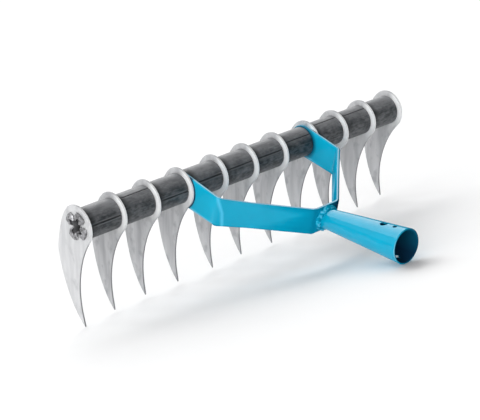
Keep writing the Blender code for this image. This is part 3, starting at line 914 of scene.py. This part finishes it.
def seam_height(arc, width):
    """Height of the mould seam at an arc's length from it: -1 in its groove, raised at its lips."""
    lips = bump(arc - width / 3, width / 6) + bump(arc + width / 3, width / 6)
    return 0.5 * lips - bump(arc, width / 6)


def sleeve_blank(settings):
    """A solid sleeve with rounded ends and a mould seam along +Y, before its keyed bore is punched."""
    bm = bmesh.new()
    seam_layer = bm.verts.layers.float.new("seam")
    end_layer = bm.verts.layers.float.new("from_end")
    near = settings.seam_width / SPACER_RADIUS
    angles = [near * (2 * i / SEAM_POINTS - 1) for i in range(SEAM_POINTS)]
    angles += [near + (math.tau - 2 * near) * i / SPACER_SIDES for i in range(SPACER_SIDES)]
    heights = [seam_height(a * SPACER_RADIUS, settings.seam_width) if a < near else 0.0 for a in angles]
    ends = rounding(settings.edge_round, SPACER_LENGTH)
    low, high = ends[:len(ends) // 2], ends[len(ends) // 2:]
    start, stop = low[-1][0], high[0][0]
    between_ends = [(start + (stop - start) * i / SPACER_ROWS, 0) for i in range(1, SPACER_ROWS)]
    rims = []
    for x, inset in low + between_ends + high:
        radii = [SPACER_RADIUS - inset + settings.seam_depth * h for h in heights]
        rim = ring_of(bm, raised([on_circle(r, a) for r, a in zip(radii, angles)], x))
        for vert, height in zip(rim, heights):
            vert[seam_layer] = height
            vert[end_layer] = x
        rims.append(rim)
    return capped_mesh(bm, rims, "sleeve_blank")


class RAKE_OT_spacers(bpy.types.Operator):
    """Makes the plastic spacers between the tines"""

    bl_idname = "rake.spacers"
    bl_label = "Spacers"

    def execute(self, context):
        settings = context.scene.rake_spacers
        finish = black_plastic(settings)
        blank = sleeve_blank(settings)
        mesh = punched_row("spacers", blank, SPACER_LENGTH, SPACER_FACES, SEAM_TURNS, finish)
        place_piece("spacers", mesh, finish, "black_plastic", *SPACERS)
        return {"FINISHED"}


# Shaft

def fold_tab(bm, side, lobe, rim, bore, spread_out):
    """Folds the end of one lobe outwards over the end tine and hammers it wider past the fold."""
    crown = on_circle(1, LOBE_TURN + full_turn(LOBE_COUNT)[lobe])
    beside = Vector((-crown.y, crown.x))
    end_x = rim[0].co.x
    first = lobe * (LOBE_POINTS + 1)
    outer, inner = [skin[first:first + LOBE_POINTS] for skin in (rim, bore)]
    rows = [outer + inner[::-1]]
    for step in range(1, FOLD_STEPS + 3):
        fold = math.pi / 2 * min(step / FOLD_STEPS, 1)
        row = []
        for skin, fold_radius in ((outer, TAB_FOLD_RADIUS), (inner, TAB_FOLD_RADIUS + SHAFT_WALL)):
            points = []
            for corner, point in zip(outer, skin):
                hinge = corner.co.yz.dot(crown) + TAB_FOLD_RADIUS
                out = hinge - (hinge - point.co.yz.dot(crown)) * math.cos(fold)
                across = point.co.yz.dot(beside)
                rise = fold_radius * math.sin(fold)
                if step > FOLD_STEPS:
                    across *= spread_out
                if step == FOLD_STEPS + 1:
                    out = max(out + TAB_FOLD_RADIUS / 2, TAB_SHOULDER)
                if step == FOLD_STEPS + 2:
                    out = math.sqrt(TAB_REACH ** 2 - across ** 2)
                    rise = fold_radius - TAB_FOLD_RADIUS
                flat = out * crown + across * beside
                points.append((end_x + side * rise, flat.x, flat.y))
            row.append(ring_of(bm, points))
        rows.append(row[0] + row[1][::-1])
    join_rings(bm, rows)
    tip = rows[-1]
    for i in range(LOBE_POINTS - 1):
        bm.faces.new((tip[i], tip[i + 1], tip[-i - 2], tip[-i - 1]))


def shaft_mesh(spread_out):
    """The hollow shaft, a tube of four lobes with folded ends."""
    bm = bmesh.new()
    ends = []
    for side in (-1, 1):
        end_x = side * (STACK_END + SEAT_GAP)
        rim, bore = [ring_of(bm, raised(lobed_outline(offset), end_x)) for offset in (0, -SHAFT_WALL)]
        ends.append((rim, bore))
        for lobe in range(LOBE_COUNT):
            fold_tab(bm, side, lobe, rim, bore, spread_out)
            slit_start = lobe * (LOBE_POINTS + 1) + LOBE_POINTS - 1
            for i in (slit_start, slit_start + 1):
                j = (i + 1) % len(rim)
                bm.faces.new((rim[i], rim[j], bore[j], bore[i]))
    for skin in zip(*ends):
        join_rings(bm, skin)
    face_out(bm)
    return mesh_from(bm, "shaft_body")


class RAKE_OT_shaft(bpy.types.Operator):
    """Makes the hollow shaft and its folded ends"""

    bl_idname = "rake.shaft"
    bl_label = "Shaft"

    def execute(self, context):
        settings = context.scene.rake_shaft
        mesh = shaft_mesh(settings.tab_spread)
        piece = place_piece("shaft_body", mesh, shaft_steel(settings), "shaft_steel", "shaft")
        bevel = piece.modifiers.new("edges", "BEVEL")
        bevel.width = settings.edge_round
        bevel.segments = TAB_EDGE_STEPS
        bevel.limit_method = "ANGLE"
        bevel.angle_limit = TAB_EDGE_ANGLE
        return {"FINISHED"}


# Yoke

def strip_route(arm):
    """The strip's middle line from its middle to an eye's centre, as (length, turn towards the shaft)."""
    corner_run = EYE_X - CENTRE_FLAT / 2
    leg_angle = math.atan2(YOKE_REACH - arm, corner_run)
    eye_bend = math.pi / 2 - leg_angle
    centre_trim = BEND_RADIUS * math.tan(leg_angle / 2)
    eye_trim = BEND_RADIUS * math.tan(eye_bend / 2)
    leg = math.hypot(corner_run, YOKE_REACH - arm)
    return [
        (CENTRE_FLAT / 2 - centre_trim, 0.0),
        (BEND_RADIUS * leg_angle, leg_angle),
        (leg - centre_trim - eye_trim, 0.0),
        (BEND_RADIUS * eye_bend, eye_bend),
        (arm - eye_trim, 0.0),
    ]


ROUTES = {-1: strip_route(EYE_ARM_LEFT), 1: strip_route(EYE_ARM_RIGHT)}
EYE_STATIONS = {side: sum(length for length, turn in route) for side, route in ROUTES.items()}


def bends_of(side):
    """Start and end of each bend on one side, as lengths along the strip, from its middle outwards."""
    found = []
    start = 0.0
    for length, turn in ROUTES[side]:
        if turn:
            found.append((side * start, side * (start + length)))
        start += length
    return found


BENDS = bends_of(-1) + bends_of(1)


def bent_place(station):
    """Where a length along the bent strip lands: its X, its reach from the shaft and its heading."""
    side = -1 if station < 0 else 1
    left = abs(station)
    x, reach, heading = 0.0, YOKE_REACH, 0.0
    for length, turn in ROUTES[side] + [(math.inf, 0.0)]:
        step = min(left, length)
        left -= step
        if turn:
            swing = step / BEND_RADIUS
            x += BEND_RADIUS * (math.sin(heading + swing) - math.sin(heading))
            reach -= BEND_RADIUS * (math.cos(heading) - math.cos(heading + swing))
            heading += swing
        else:
            x += step * math.cos(heading)
            reach -= step * math.sin(heading)
    return side * x, reach, side * heading


def blank_outline():
    """The flat blank of the strip as (along, across): two round eyes, narrowing to the middle."""
    outline = []
    for side, route in ROUTES.items():
        neck_at = EYE_STATIONS[side] - NECK_FROM_EYE
        flat_at = sum(length for length, turn in route[:2])
        edge = [Vector((neck_at, STRIP_NECK_HEIGHT / 2)), Vector((flat_at, STRIP_END_HEIGHT / 2))]
        half = [Vector((p.x, -p.y)) for p in reversed(edge)]
        for i in range(EYE_POINTS):
            angle = math.pi * i / (EYE_POINTS - 1) - math.pi / 2
            half.append(Vector((EYE_STATIONS[side], 0)) + on_circle(EYE_RADIUS, angle))
        outline += [side * p for p in half + edge]
    return outline


def eye_hole(side):
    """The shaft's hole in an eye, as (along, across) on the flat blank, in line once it is bent."""
    hole = []
    for p in lobed_outline(SEAT_GAP):
        point = Vector((0, p.x, p.y))
        hole.append(Vector((side * (EYE_STATIONS[side] - point.dot(ALONG_YOKE)), point.dot(ACROSS_YOKE))))
    return hole


def strip_paint(through, along, across):
    """Depth of the strip's paint, as painted light and shade: a painted highlight on its upper edge and on
    the lower edge of the eye arms, painted shade along the rest of the bottom edge, on the legs, at the feet
    and at the bends.
    """
    edge = STRIP_END_HEIGHT / 2
    station = abs(along)
    outer_face = through > 0
    (corner, leg_start), (leg_end, eye_bend) = [map(abs, bend) for bend in bends_of(-1 if along < 0 else 1)]
    past_corner = 1 - ramp(station, leg_end, eye_bend)
    on_leg = ramp(station, corner, leg_start) * past_corner
    # Painted shade on the legs, deeper on the inner face, which is a little shaded all along
    depth = 0.1 + 0.4 * on_leg if through < 0 else 0.3 * on_leg
    # Painted shade on the outer face of the right leg, darkest at its foot
    if outer_face and along > 0:
        thinning = (FOOT_SHADE - EYE_END_SHADE) * ramp(along, leg_start, leg_end)
        depth = ramp(along, corner - FOOT_SHADE_REACH, corner) * past_corner * (FOOT_SHADE - thinning)
    # Painted shade along the bottom edge, and a painted highlight on the lower edge of the eye arms
    if across < -0.96 * edge:
        depth = BOTTOM_EDGE_SHADE if station < eye_bend else EYE_EDGE_HIGHLIGHT
    # Painted shade at the feet beside the centre flat
    depth += 0.8 * bump(station - CENTRE_FLAT / 2, CENTRE_SHADE_REACH)
    # A little painted shade on the outside of the other bends
    for start, end in BENDS:
        if outer_face and abs(start) > CENTRE_FLAT:
            depth += 0.2 * bump(along - (start + end) / 2, BEND_SHADE_REACH)
    # A painted highlight along the top edge
    if across > 0.5 * edge and abs(through) < 0.3 * STRIP_THICKNESS:
        depth = TOP_EDGE_HIGHLIGHT
    return depth


def strip_crease(through, along, across):
    """Distance along the strip from the crease beside the left knee, along which a painted highlight lies,
    plus one metre.
    """
    if through < 0:
        return 2.0
    knee = min(start for start, end in BENDS)
    slant = CREASE_SLANT if across > 0 else CREASE_SLANT_BELOW
    return 1.0 + along - (knee + CREASE_FROM_KNEE - slant * across)


def yoke_mesh(settings):
    """The strip with rounded edges, cut flat, widened a little where it is bent, and bent to shape."""
    bm = bmesh.new()
    outline = blank_outline()
    half = STRIP_THICKNESS / 2
    rims = []
    for height, inset in rounding(settings.edge_round, STRIP_THICKNESS):
        rims.append(ring_of(bm, raised(inset_outline(outline, inset), height - half)))
    join_rings(bm, rims)
    faces = [[rims[0]], [rims[-1]]]
    for side in (-1, 1):
        hole = [ring_of(bm, raised(eye_hole(side), through)) for through in (-half, half)]
        join_rings(bm, hole)
        for face, ring in zip(faces, hole):
            face.append(ring)
    for face in faces:
        edges = [bm.edges.get((ring[i - 1], ring[i])) for ring in face for i in range(len(ring))]
        bmesh.ops.triangle_fill(bm, edges=edges, use_beauty=True, use_dissolve=False)
    face_out(bm)
    for start, end in BENDS:
        for i in range(BEND_STEPS + 1):
            station = start + (end - start) * i / BEND_STEPS
            cut_through(bm, (0, station, 0), (0, 1, 0), dist=SAME_PLACE)
    for row in STRIP_ROWS:
        cut_through(bm, (0, 0, STRIP_END_HEIGHT * row), (0, 0, 1), dist=SAME_PLACE)
    depth_layer = bm.verts.layers.float.new("paint_depth")
    crease_layer = bm.verts.layers.float.new("crease")
    for vert in bm.verts:
        through, along, across = vert.co
        vert[depth_layer] = strip_paint(through, along, across)
        vert[crease_layer] = strip_crease(through, along, across)
        for start, end in BENDS:
            nearness = (along - (start + end) / 2) / abs(end - start)
            across *= 1 + settings.bend_swell * math.exp(-3 * nearness ** 2)
        x, reach, heading = bent_place(along)
        x += through * math.sin(heading)
        reach += through * math.cos(heading)
        vert.co = x * SIDEWAYS + reach * ALONG_YOKE + across * ACROSS_YOKE
    return mesh_from(bm, "yoke_strip", STRIP_SHARP_ANGLE)


class RAKE_OT_yoke(bpy.types.Operator):
    """Makes the bent strip yoke"""

    bl_idname = "rake.yoke"
    bl_label = "Yoke"

    def execute(self, context):
        mesh = yoke_mesh(context.scene.rake_paint)
        place_piece("yoke_strip", mesh, paint_of(), "blue_paint", "yoke")
        return {"FINISHED"}


# Socket

def socket_radius(length):
    """Outer radius of the socket at a length from its root along its axis."""
    return SOCKET_BACK_RADIUS + (SOCKET_MOUTH_RADIUS - SOCKET_BACK_RADIUS) * length / SOCKET_LENGTH


def round_socket(angle):
    """The direction square to the socket's axis at an angle counted from the top towards +X."""
    return math.sin(angle) * SIDEWAYS + math.cos(angle) * ACROSS_SOCKET


def socket_profile(rim):
    """The wall's section as (length, radius): up the outside, round the mouth's rim and down the bore."""
    start = -SOCKET_MOUTH_RADIUS / 2
    stop = SOCKET_LENGTH - rim
    lengths = [start + (stop - start) * i / SOCKET_ROWS for i in range(SOCKET_ROWS + 1)]
    section = [(s, socket_radius(s)) for s in lengths]
    outer = socket_radius(SOCKET_LENGTH)
    inner = outer - SOCKET_WALL
    quarter = quarter_turn(2 * ROUND_STEPS)[1:]
    section += [(stop + rim * math.sin(a), outer - rim + rim * math.cos(a)) for a in quarter]
    section += [(stop + rim * math.cos(a), inner + rim - rim * math.sin(a)) for a in quarter]
    section += [(s, socket_radius(s) - SOCKET_WALL) for s in reversed(lengths[:-1])]
    return section


def hole_cutter(name, radius, lip, from_depth, length):
    """A drill across the socket whose upper end flares out into the lip of the hole."""
    centre = SOCKET_ROOT + length * ALONG_SOCKET
    side = ALONG_HOLES.cross(ALONG_SOCKET)
    surface = socket_radius(length)
    bm = bmesh.new()
    rings = []
    for depth, size in ((from_depth, radius), (surface - lip, radius), (surface, radius + lip / 2),
                        (surface + 2 * lip, radius + 3 * lip)):
        middle = centre + depth * ALONG_HOLES
        circle = [on_circle(size, angle) for angle in full_turn(HOLE_SIDES)]
        rings.append(ring_of(bm, [middle + p.x * side + p.y * ALONG_SOCKET for p in circle]))
    return add_object(name, capped_mesh(bm, rings, name))


def socket_paint(place):
    """Depth of the socket's paint, as painted light and shade: painted shade in the bore with a painted
    reflection on its upper side, a painted glint round the lower screw hole, painted shade on the rim's right
    and a painted highlight on its left, and a share of deep paint all over with painted shade deepening
    towards the root.
    """
    rel = place - SOCKET_ROOT
    length = rel.dot(ALONG_SOCKET)
    aside = rel - length * ALONG_SOCKET
    inward = (socket_radius(length) - aside.length) / SOCKET_WALL
    up = aside.dot(ALONG_HOLES)
    from_screw = aside - up * ALONG_HOLES + (length - SOCKET_LENGTH + SCREW_HOLE_FROM_MOUTH) * ALONG_SOCKET
    # A painted glint round the lower screw hole
    if up < 0 and from_screw.length < GLINT_ROUND_SCREW * SCREW_HOLE_RADIUS:
        return FULL_PAINTED_HIGHLIGHT
    # Painted shade in the bore and the holes' walls, lightened along the bore's upper side as a painted
    # reflection
    if inward > 0.6 or 0.04 < inward and length < SOCKET_LENGTH - RIM_PAINT_REACH:
        facing_up = max(0, aside.x + aside.z) / aside.length
        return BORE_SHADE - 0.25 * facing_up * max(0, length) / SOCKET_LENGTH
    # The rim: painted shade on its right side and a painted highlight on its left
    if inward > 0.08:
        return 0.85 + 1.15 * aside.x / aside.length
    # A share of deep paint all over, with painted shade deepening towards the root
    return 0.25 + 0.4 * bump(max(length, 0), ROOT_SHADE_REACH)


def socket_mesh(settings):
    """The tapered tube with a rounded rim, cut flat against the yoke's middle, and its drilled holes."""
    bm = bmesh.new()
    section = socket_profile(settings.rim_round)
    rings = []
    for angle in full_turn(SOCKET_SIDES):
        aside = round_socket(angle)
        rings.append(ring_of(bm, [SOCKET_ROOT + s * ALONG_SOCKET + radius * aside for s, radius in section]))
    join_rings(bm, rings, closed=True)
    on_cut = cut_through(bm, SOCKET_ROOT + SEAT_GAP * ALONG_YOKE, ALONG_YOKE, clear_inner=True)
    bmesh.ops.bridge_loops(bm, edges=[g for g in on_cut if isinstance(g, bmesh.types.BMEdge)])
    face_out(bm)
    body = add_object("socket_tube", mesh_from(bm, "socket_tube"))
    past = 2 * SOCKET_MOUTH_RADIUS
    lip = 0.8 * settings.rim_round
    drills = [
        hole_cutter("screw_drill", SCREW_HOLE_RADIUS, lip, -past, SOCKET_LENGTH - SCREW_HOLE_FROM_MOUTH),
        hole_cutter("lock_drill", LOCK_HOLE_RADIUS, lip, 0.0, SOCKET_LENGTH - LOCK_HOLE_FROM_MOUTH),
    ]
    for drill in drills:
        cut = body.modifiers.new(drill.name, "BOOLEAN")
        cut.operation = "DIFFERENCE"
        cut.solver = "EXACT"
        cut.object = drill
    mesh = evaluated_mesh(body)
    for helper in drills + [body]:
        bpy.data.objects.remove(helper)
    shade(mesh, SOCKET_SHARP_ANGLE)
    mark_points(mesh, "paint_depth", [socket_paint(vert.co) for vert in mesh.vertices])
    return mesh


class RAKE_OT_socket(bpy.types.Operator):
    """Makes the tapered handle socket"""

    bl_idname = "rake.socket"
    bl_label = "Handle socket"

    def execute(self, context):
        mesh = socket_mesh(context.scene.rake_paint)
        place_piece("socket_tube", mesh, paint_of(), "blue_paint", "handle_socket")
        return {"FINISHED"}


# Weld

def bead_mesh(settings):
    """A smooth fillet between the back of the socket and the strip, with its turn round the socket kept."""
    bm = bmesh.new()
    turned = bm.verts.layers.float.new("turn")
    steepness = (SOCKET_MOUTH_RADIUS - SOCKET_BACK_RADIUS) / SOCKET_LENGTH
    corners = [(0, 0)]
    for swing in quarter_turn(BEAD_ARC_STEPS):
        corners.append((settings.bead_height * math.sin(swing), settings.bead_width * math.cos(swing)))
    rings = []
    for angle in full_turn(BEAD_SIDES):
        aside = round_socket(angle)
        climb = ALONG_SOCKET + steepness * aside
        foot = SOCKET_ROOT + SOCKET_BACK_RADIUS * aside
        outward = (aside - aside.dot(ALONG_YOKE) * ALONG_YOKE).normalized()
        section = []
        for height, width in corners:
            way = (height - (foot - SOCKET_ROOT).dot(ALONG_YOKE)) / climb.dot(ALONG_YOKE)
            section.append(foot + way * climb + width * outward)
        ring = ring_of(bm, section)
        for vert in ring:
            vert[turned] = angle
        rings.append(ring)
    join_rings(bm, rings, closed=True)
    face_out(bm)
    return mesh_from(bm, "weld_base")


def weld_tree(finish):
    """Ripples and lumps a smooth bead along its path, and scatters a few beads of spatter on it."""
    inputs = {label: "NodeSocketFloat" for label in ("Ripples", "Ripple Depth", "Lump Depth", "Spatter")}
    given, end = new_geometry_tree("weld", {**inputs, "Seed": "NodeSocketInt"})
    wave = maths("SINE", times(stored(end, "turn"), given["Ripples"]))
    ripple = times(size_of(wave), given["Ripple Depth"])
    place = add_node(end, "GeometryNodeInputPosition").outputs[0]
    lumps = {"Vector": place, "W": given["Seed"], "Scale": LUMP_SCALE, "Detail": 1.0}
    lump = add_node(end, "ShaderNodeTexNoise", lumps, noise_dimensions="4D").outputs["Fac"]
    lift = plus(ripple, times(maths("SUBTRACT", lump, LUMP_LEVEL), given["Lump Depth"]))
    normal = add_node(end, "GeometryNodeInputNormal").outputs[0]
    offset = add_node(end, "ShaderNodeVectorMath", {0: normal, "Scale": lift}, operation="SCALE").outputs[0]
    lifted = {"Geometry": given["Geometry"], "Offset": offset}
    bead = add_node(end, "GeometryNodeSetPosition", lifted).outputs[0]
    # Through the paint depth, the lumps' valleys get painted shade and their crests a faint painted highlight
    painted = {"Geometry": bead, "Name": "paint_depth", "Value": spread(lump, 0.36, 0.60, 1.1, -0.05)}
    bead = add_node(end, "GeometryNodeStoreNamedAttribute", painted).outputs[0]
    scatter = {"Mesh": bead, "Density": given["Spatter"], "Seed": given["Seed"]}
    spots = add_node(end, "GeometryNodeDistributePointsOnFaces", scatter)
    drop = add_node(end, "GeometryNodeMeshIcoSphere", {"Radius": SPATTER_RADIUS, "Subdivisions": 3})
    sizes = {2: SPATTER_SIZES[0], 3: SPATTER_SIZES[1], "Seed": given["Seed"]}
    size = add_node(end, "FunctionNodeRandomValue", sizes).outputs[1]
    dropped = {"Points": spots.outputs["Points"], "Instance": drop.outputs["Mesh"], "Scale": size}
    drops = add_node(end, "GeometryNodeInstanceOnPoints", dropped).outputs[0]
    both = add_node(end, "GeometryNodeJoinGeometry")
    feed(both, {0: bead})
    feed(both, {0: drops})
    return finish_geometry_tree(both.outputs[0], finish, end)


class RAKE_OT_weld(bpy.types.Operator):
    """Makes the weld bead round the back of the socket"""

    bl_idname = "rake.weld"
    bl_label = "Weld"

    def execute(self, context):
        settings = context.scene.rake_weld
        finish = paint_of()
        base = bead_mesh(settings)
        area = sum(face.area for face in base.polygons)
        values = {
            "Ripples": settings.ripples / 2,
            "Ripple Depth": settings.ripple_depth,
            "Lump Depth": settings.lump_depth,
            "Spatter": settings.spatter / area,
            "Seed": settings.seed,
        }
        mesh = run_tree(weld_tree(finish), base, values, "weld_ripples")
        mesh.shade_smooth()
        place_piece("weld_ripples", mesh, finish, "blue_paint", "weld_bead")
        return {"FINISHED"}


# Stage

def add_floor(settings):
    side = settings.floor_size / 2
    mesh = bpy.data.meshes.new("floor")
    corners = [(-side, -side, 0), (side, -side, 0), (side, side, 0), (-side, side, 0)]
    mesh.from_pydata(corners, [], [range(4)])
    mesh.materials.append(pale_floor(settings))
    add_object("floor", mesh)


def view_axes(azimuth, elevation):
    """The directions ahead, right and up of a view; azimuth 0 is +Y and a right angle is +X."""
    level = math.cos(elevation)
    ahead = Vector((level * math.sin(azimuth), level * math.cos(azimuth), math.sin(elevation)))
    right = Vector((math.cos(azimuth), -math.sin(azimuth), 0))
    return ahead, right, right.cross(ahead)


def soft_box(look, settings, name):
    """The light of a far-off rectangular soft box seen in a direction."""
    keys = (name, name + "_turn", name + "_rise", name + "_spread")
    light, turn, rise, half_width = [getattr(settings, key) for key in keys]
    half_height, side_fade = SOFT_BOXES[name]
    ahead, right, up = view_axes(turn, rise)
    depth = largest(along(look, ahead), 0.001)
    shares = []
    for axis, half, fade in ((right, half_width, side_fade), (up, half_height, BOX_TOP_FADE)):
        offset = size_of(maths("DIVIDE", along(look, axis), depth))
        shares.append(spread(offset, half - fade, half + fade, 1.0, 0.0))
    return times(*shares, light)


def add_surroundings(settings):
    """White surroundings, brighter near the floor, with one soft box on the left and a wide one behind."""
    world = bpy.data.worlds.new("surroundings")
    world.use_nodes = True
    background = world.node_tree.nodes["Background"]
    look = add_node(background, "ShaderNodeTexCoord").outputs["Generated"]
    total = spread(axes_of(look)["Z"], *HORIZON_FADES, settings.horizon, settings.haze)
    total = times(total, spread(along(look, DIM_SIDE), *DIM_FADES, 1.0, settings.dim_share))
    total = plus(total, *[soft_box(look, settings, name) for name in SOFT_BOXES])
    seen = add_node(background, "ShaderNodeLightPath").outputs["Is Camera Ray"]
    feed(background, {"Color": (1, 1, 1, 1), "Strength": between(seen, total, settings.backdrop)})
    bpy.context.scene.world = world


def add_camera():
    """The photograph's camera, which leans with the head."""
    ahead, right, up = view_axes(CAMERA_AZIMUTH, -CAMERA_ELEVATION)
    turn = Matrix((right, up, -ahead)).transposed().to_4x4()
    camera = bpy.data.cameras.new("photo_camera")
    camera.sensor_fit = "HORIZONTAL"
    camera.sensor_width = SENSOR_WIDTH_MM
    camera.lens = CAMERA_FOCAL_PIXELS * SENSOR_WIDTH_MM / IMAGE_WIDTH_PIXELS
    camera.clip_end = 100.0
    seat = add_object("photo_camera", camera)
    seat.matrix_world = HEAD @ Matrix.Translation(CAMERA_PLACE) @ turn
    bpy.context.scene.camera = seat


class RAKE_OT_stage(bpy.types.Operator):
    """Makes the pale floor, the soft lights and the camera"""

    bl_idname = "rake.stage"
    bl_label = "Floor, light and camera"

    def execute(self, context):
        settings = context.scene.rake_stage
        add_floor(settings)
        add_surroundings(settings)
        add_camera()
        context.scene.view_settings.view_transform = "Standard"
        return {"FINISHED"}


# Panel and registration

OPERATORS = (RAKE_OT_tines, RAKE_OT_spacers, RAKE_OT_shaft, RAKE_OT_yoke, RAKE_OT_socket, RAKE_OT_weld,
             RAKE_OT_stage)


class RAKE_PT_looks(bpy.types.Panel):
    """Lists the pieces and their settings"""

    bl_idname = "RAKE_PT_looks"
    bl_label = "Rake head"
    bl_space_type = "VIEW_3D"
    bl_region_type = "UI"
    bl_category = "Rake head"

    def draw(self, context):
        for operator in OPERATORS:
            self.layout.operator(operator.bl_idname)
        for label in SETTINGS:
            group = getattr(context.scene, label)
            box = self.layout.box()
            box.label(text=group.bl_rna.description)
            for key in group.__annotations__:
                box.prop(group, key)


CLASSES = (*SETTINGS.values(), *OPERATORS, RAKE_PT_looks)


def register():
    for listed in CLASSES:
        bpy.utils.register_class(listed)
    for label, group in SETTINGS.items():
        setattr(bpy.types.Scene, label, PointerProperty(type=group))


def unregister():
    for label in SETTINGS:
        delattr(bpy.types.Scene, label)
    for listed in reversed(CLASSES):
        bpy.utils.unregister_class(listed)


def main():
    register()
    bpy.ops.rake.stage()
    bpy.ops.rake.tines()
    bpy.ops.rake.spacers()
    bpy.ops.rake.shaft()
    bpy.ops.rake.yoke()
    bpy.ops.rake.socket()
    bpy.ops.rake.weld()


if __name__ == "__main__":
    main()
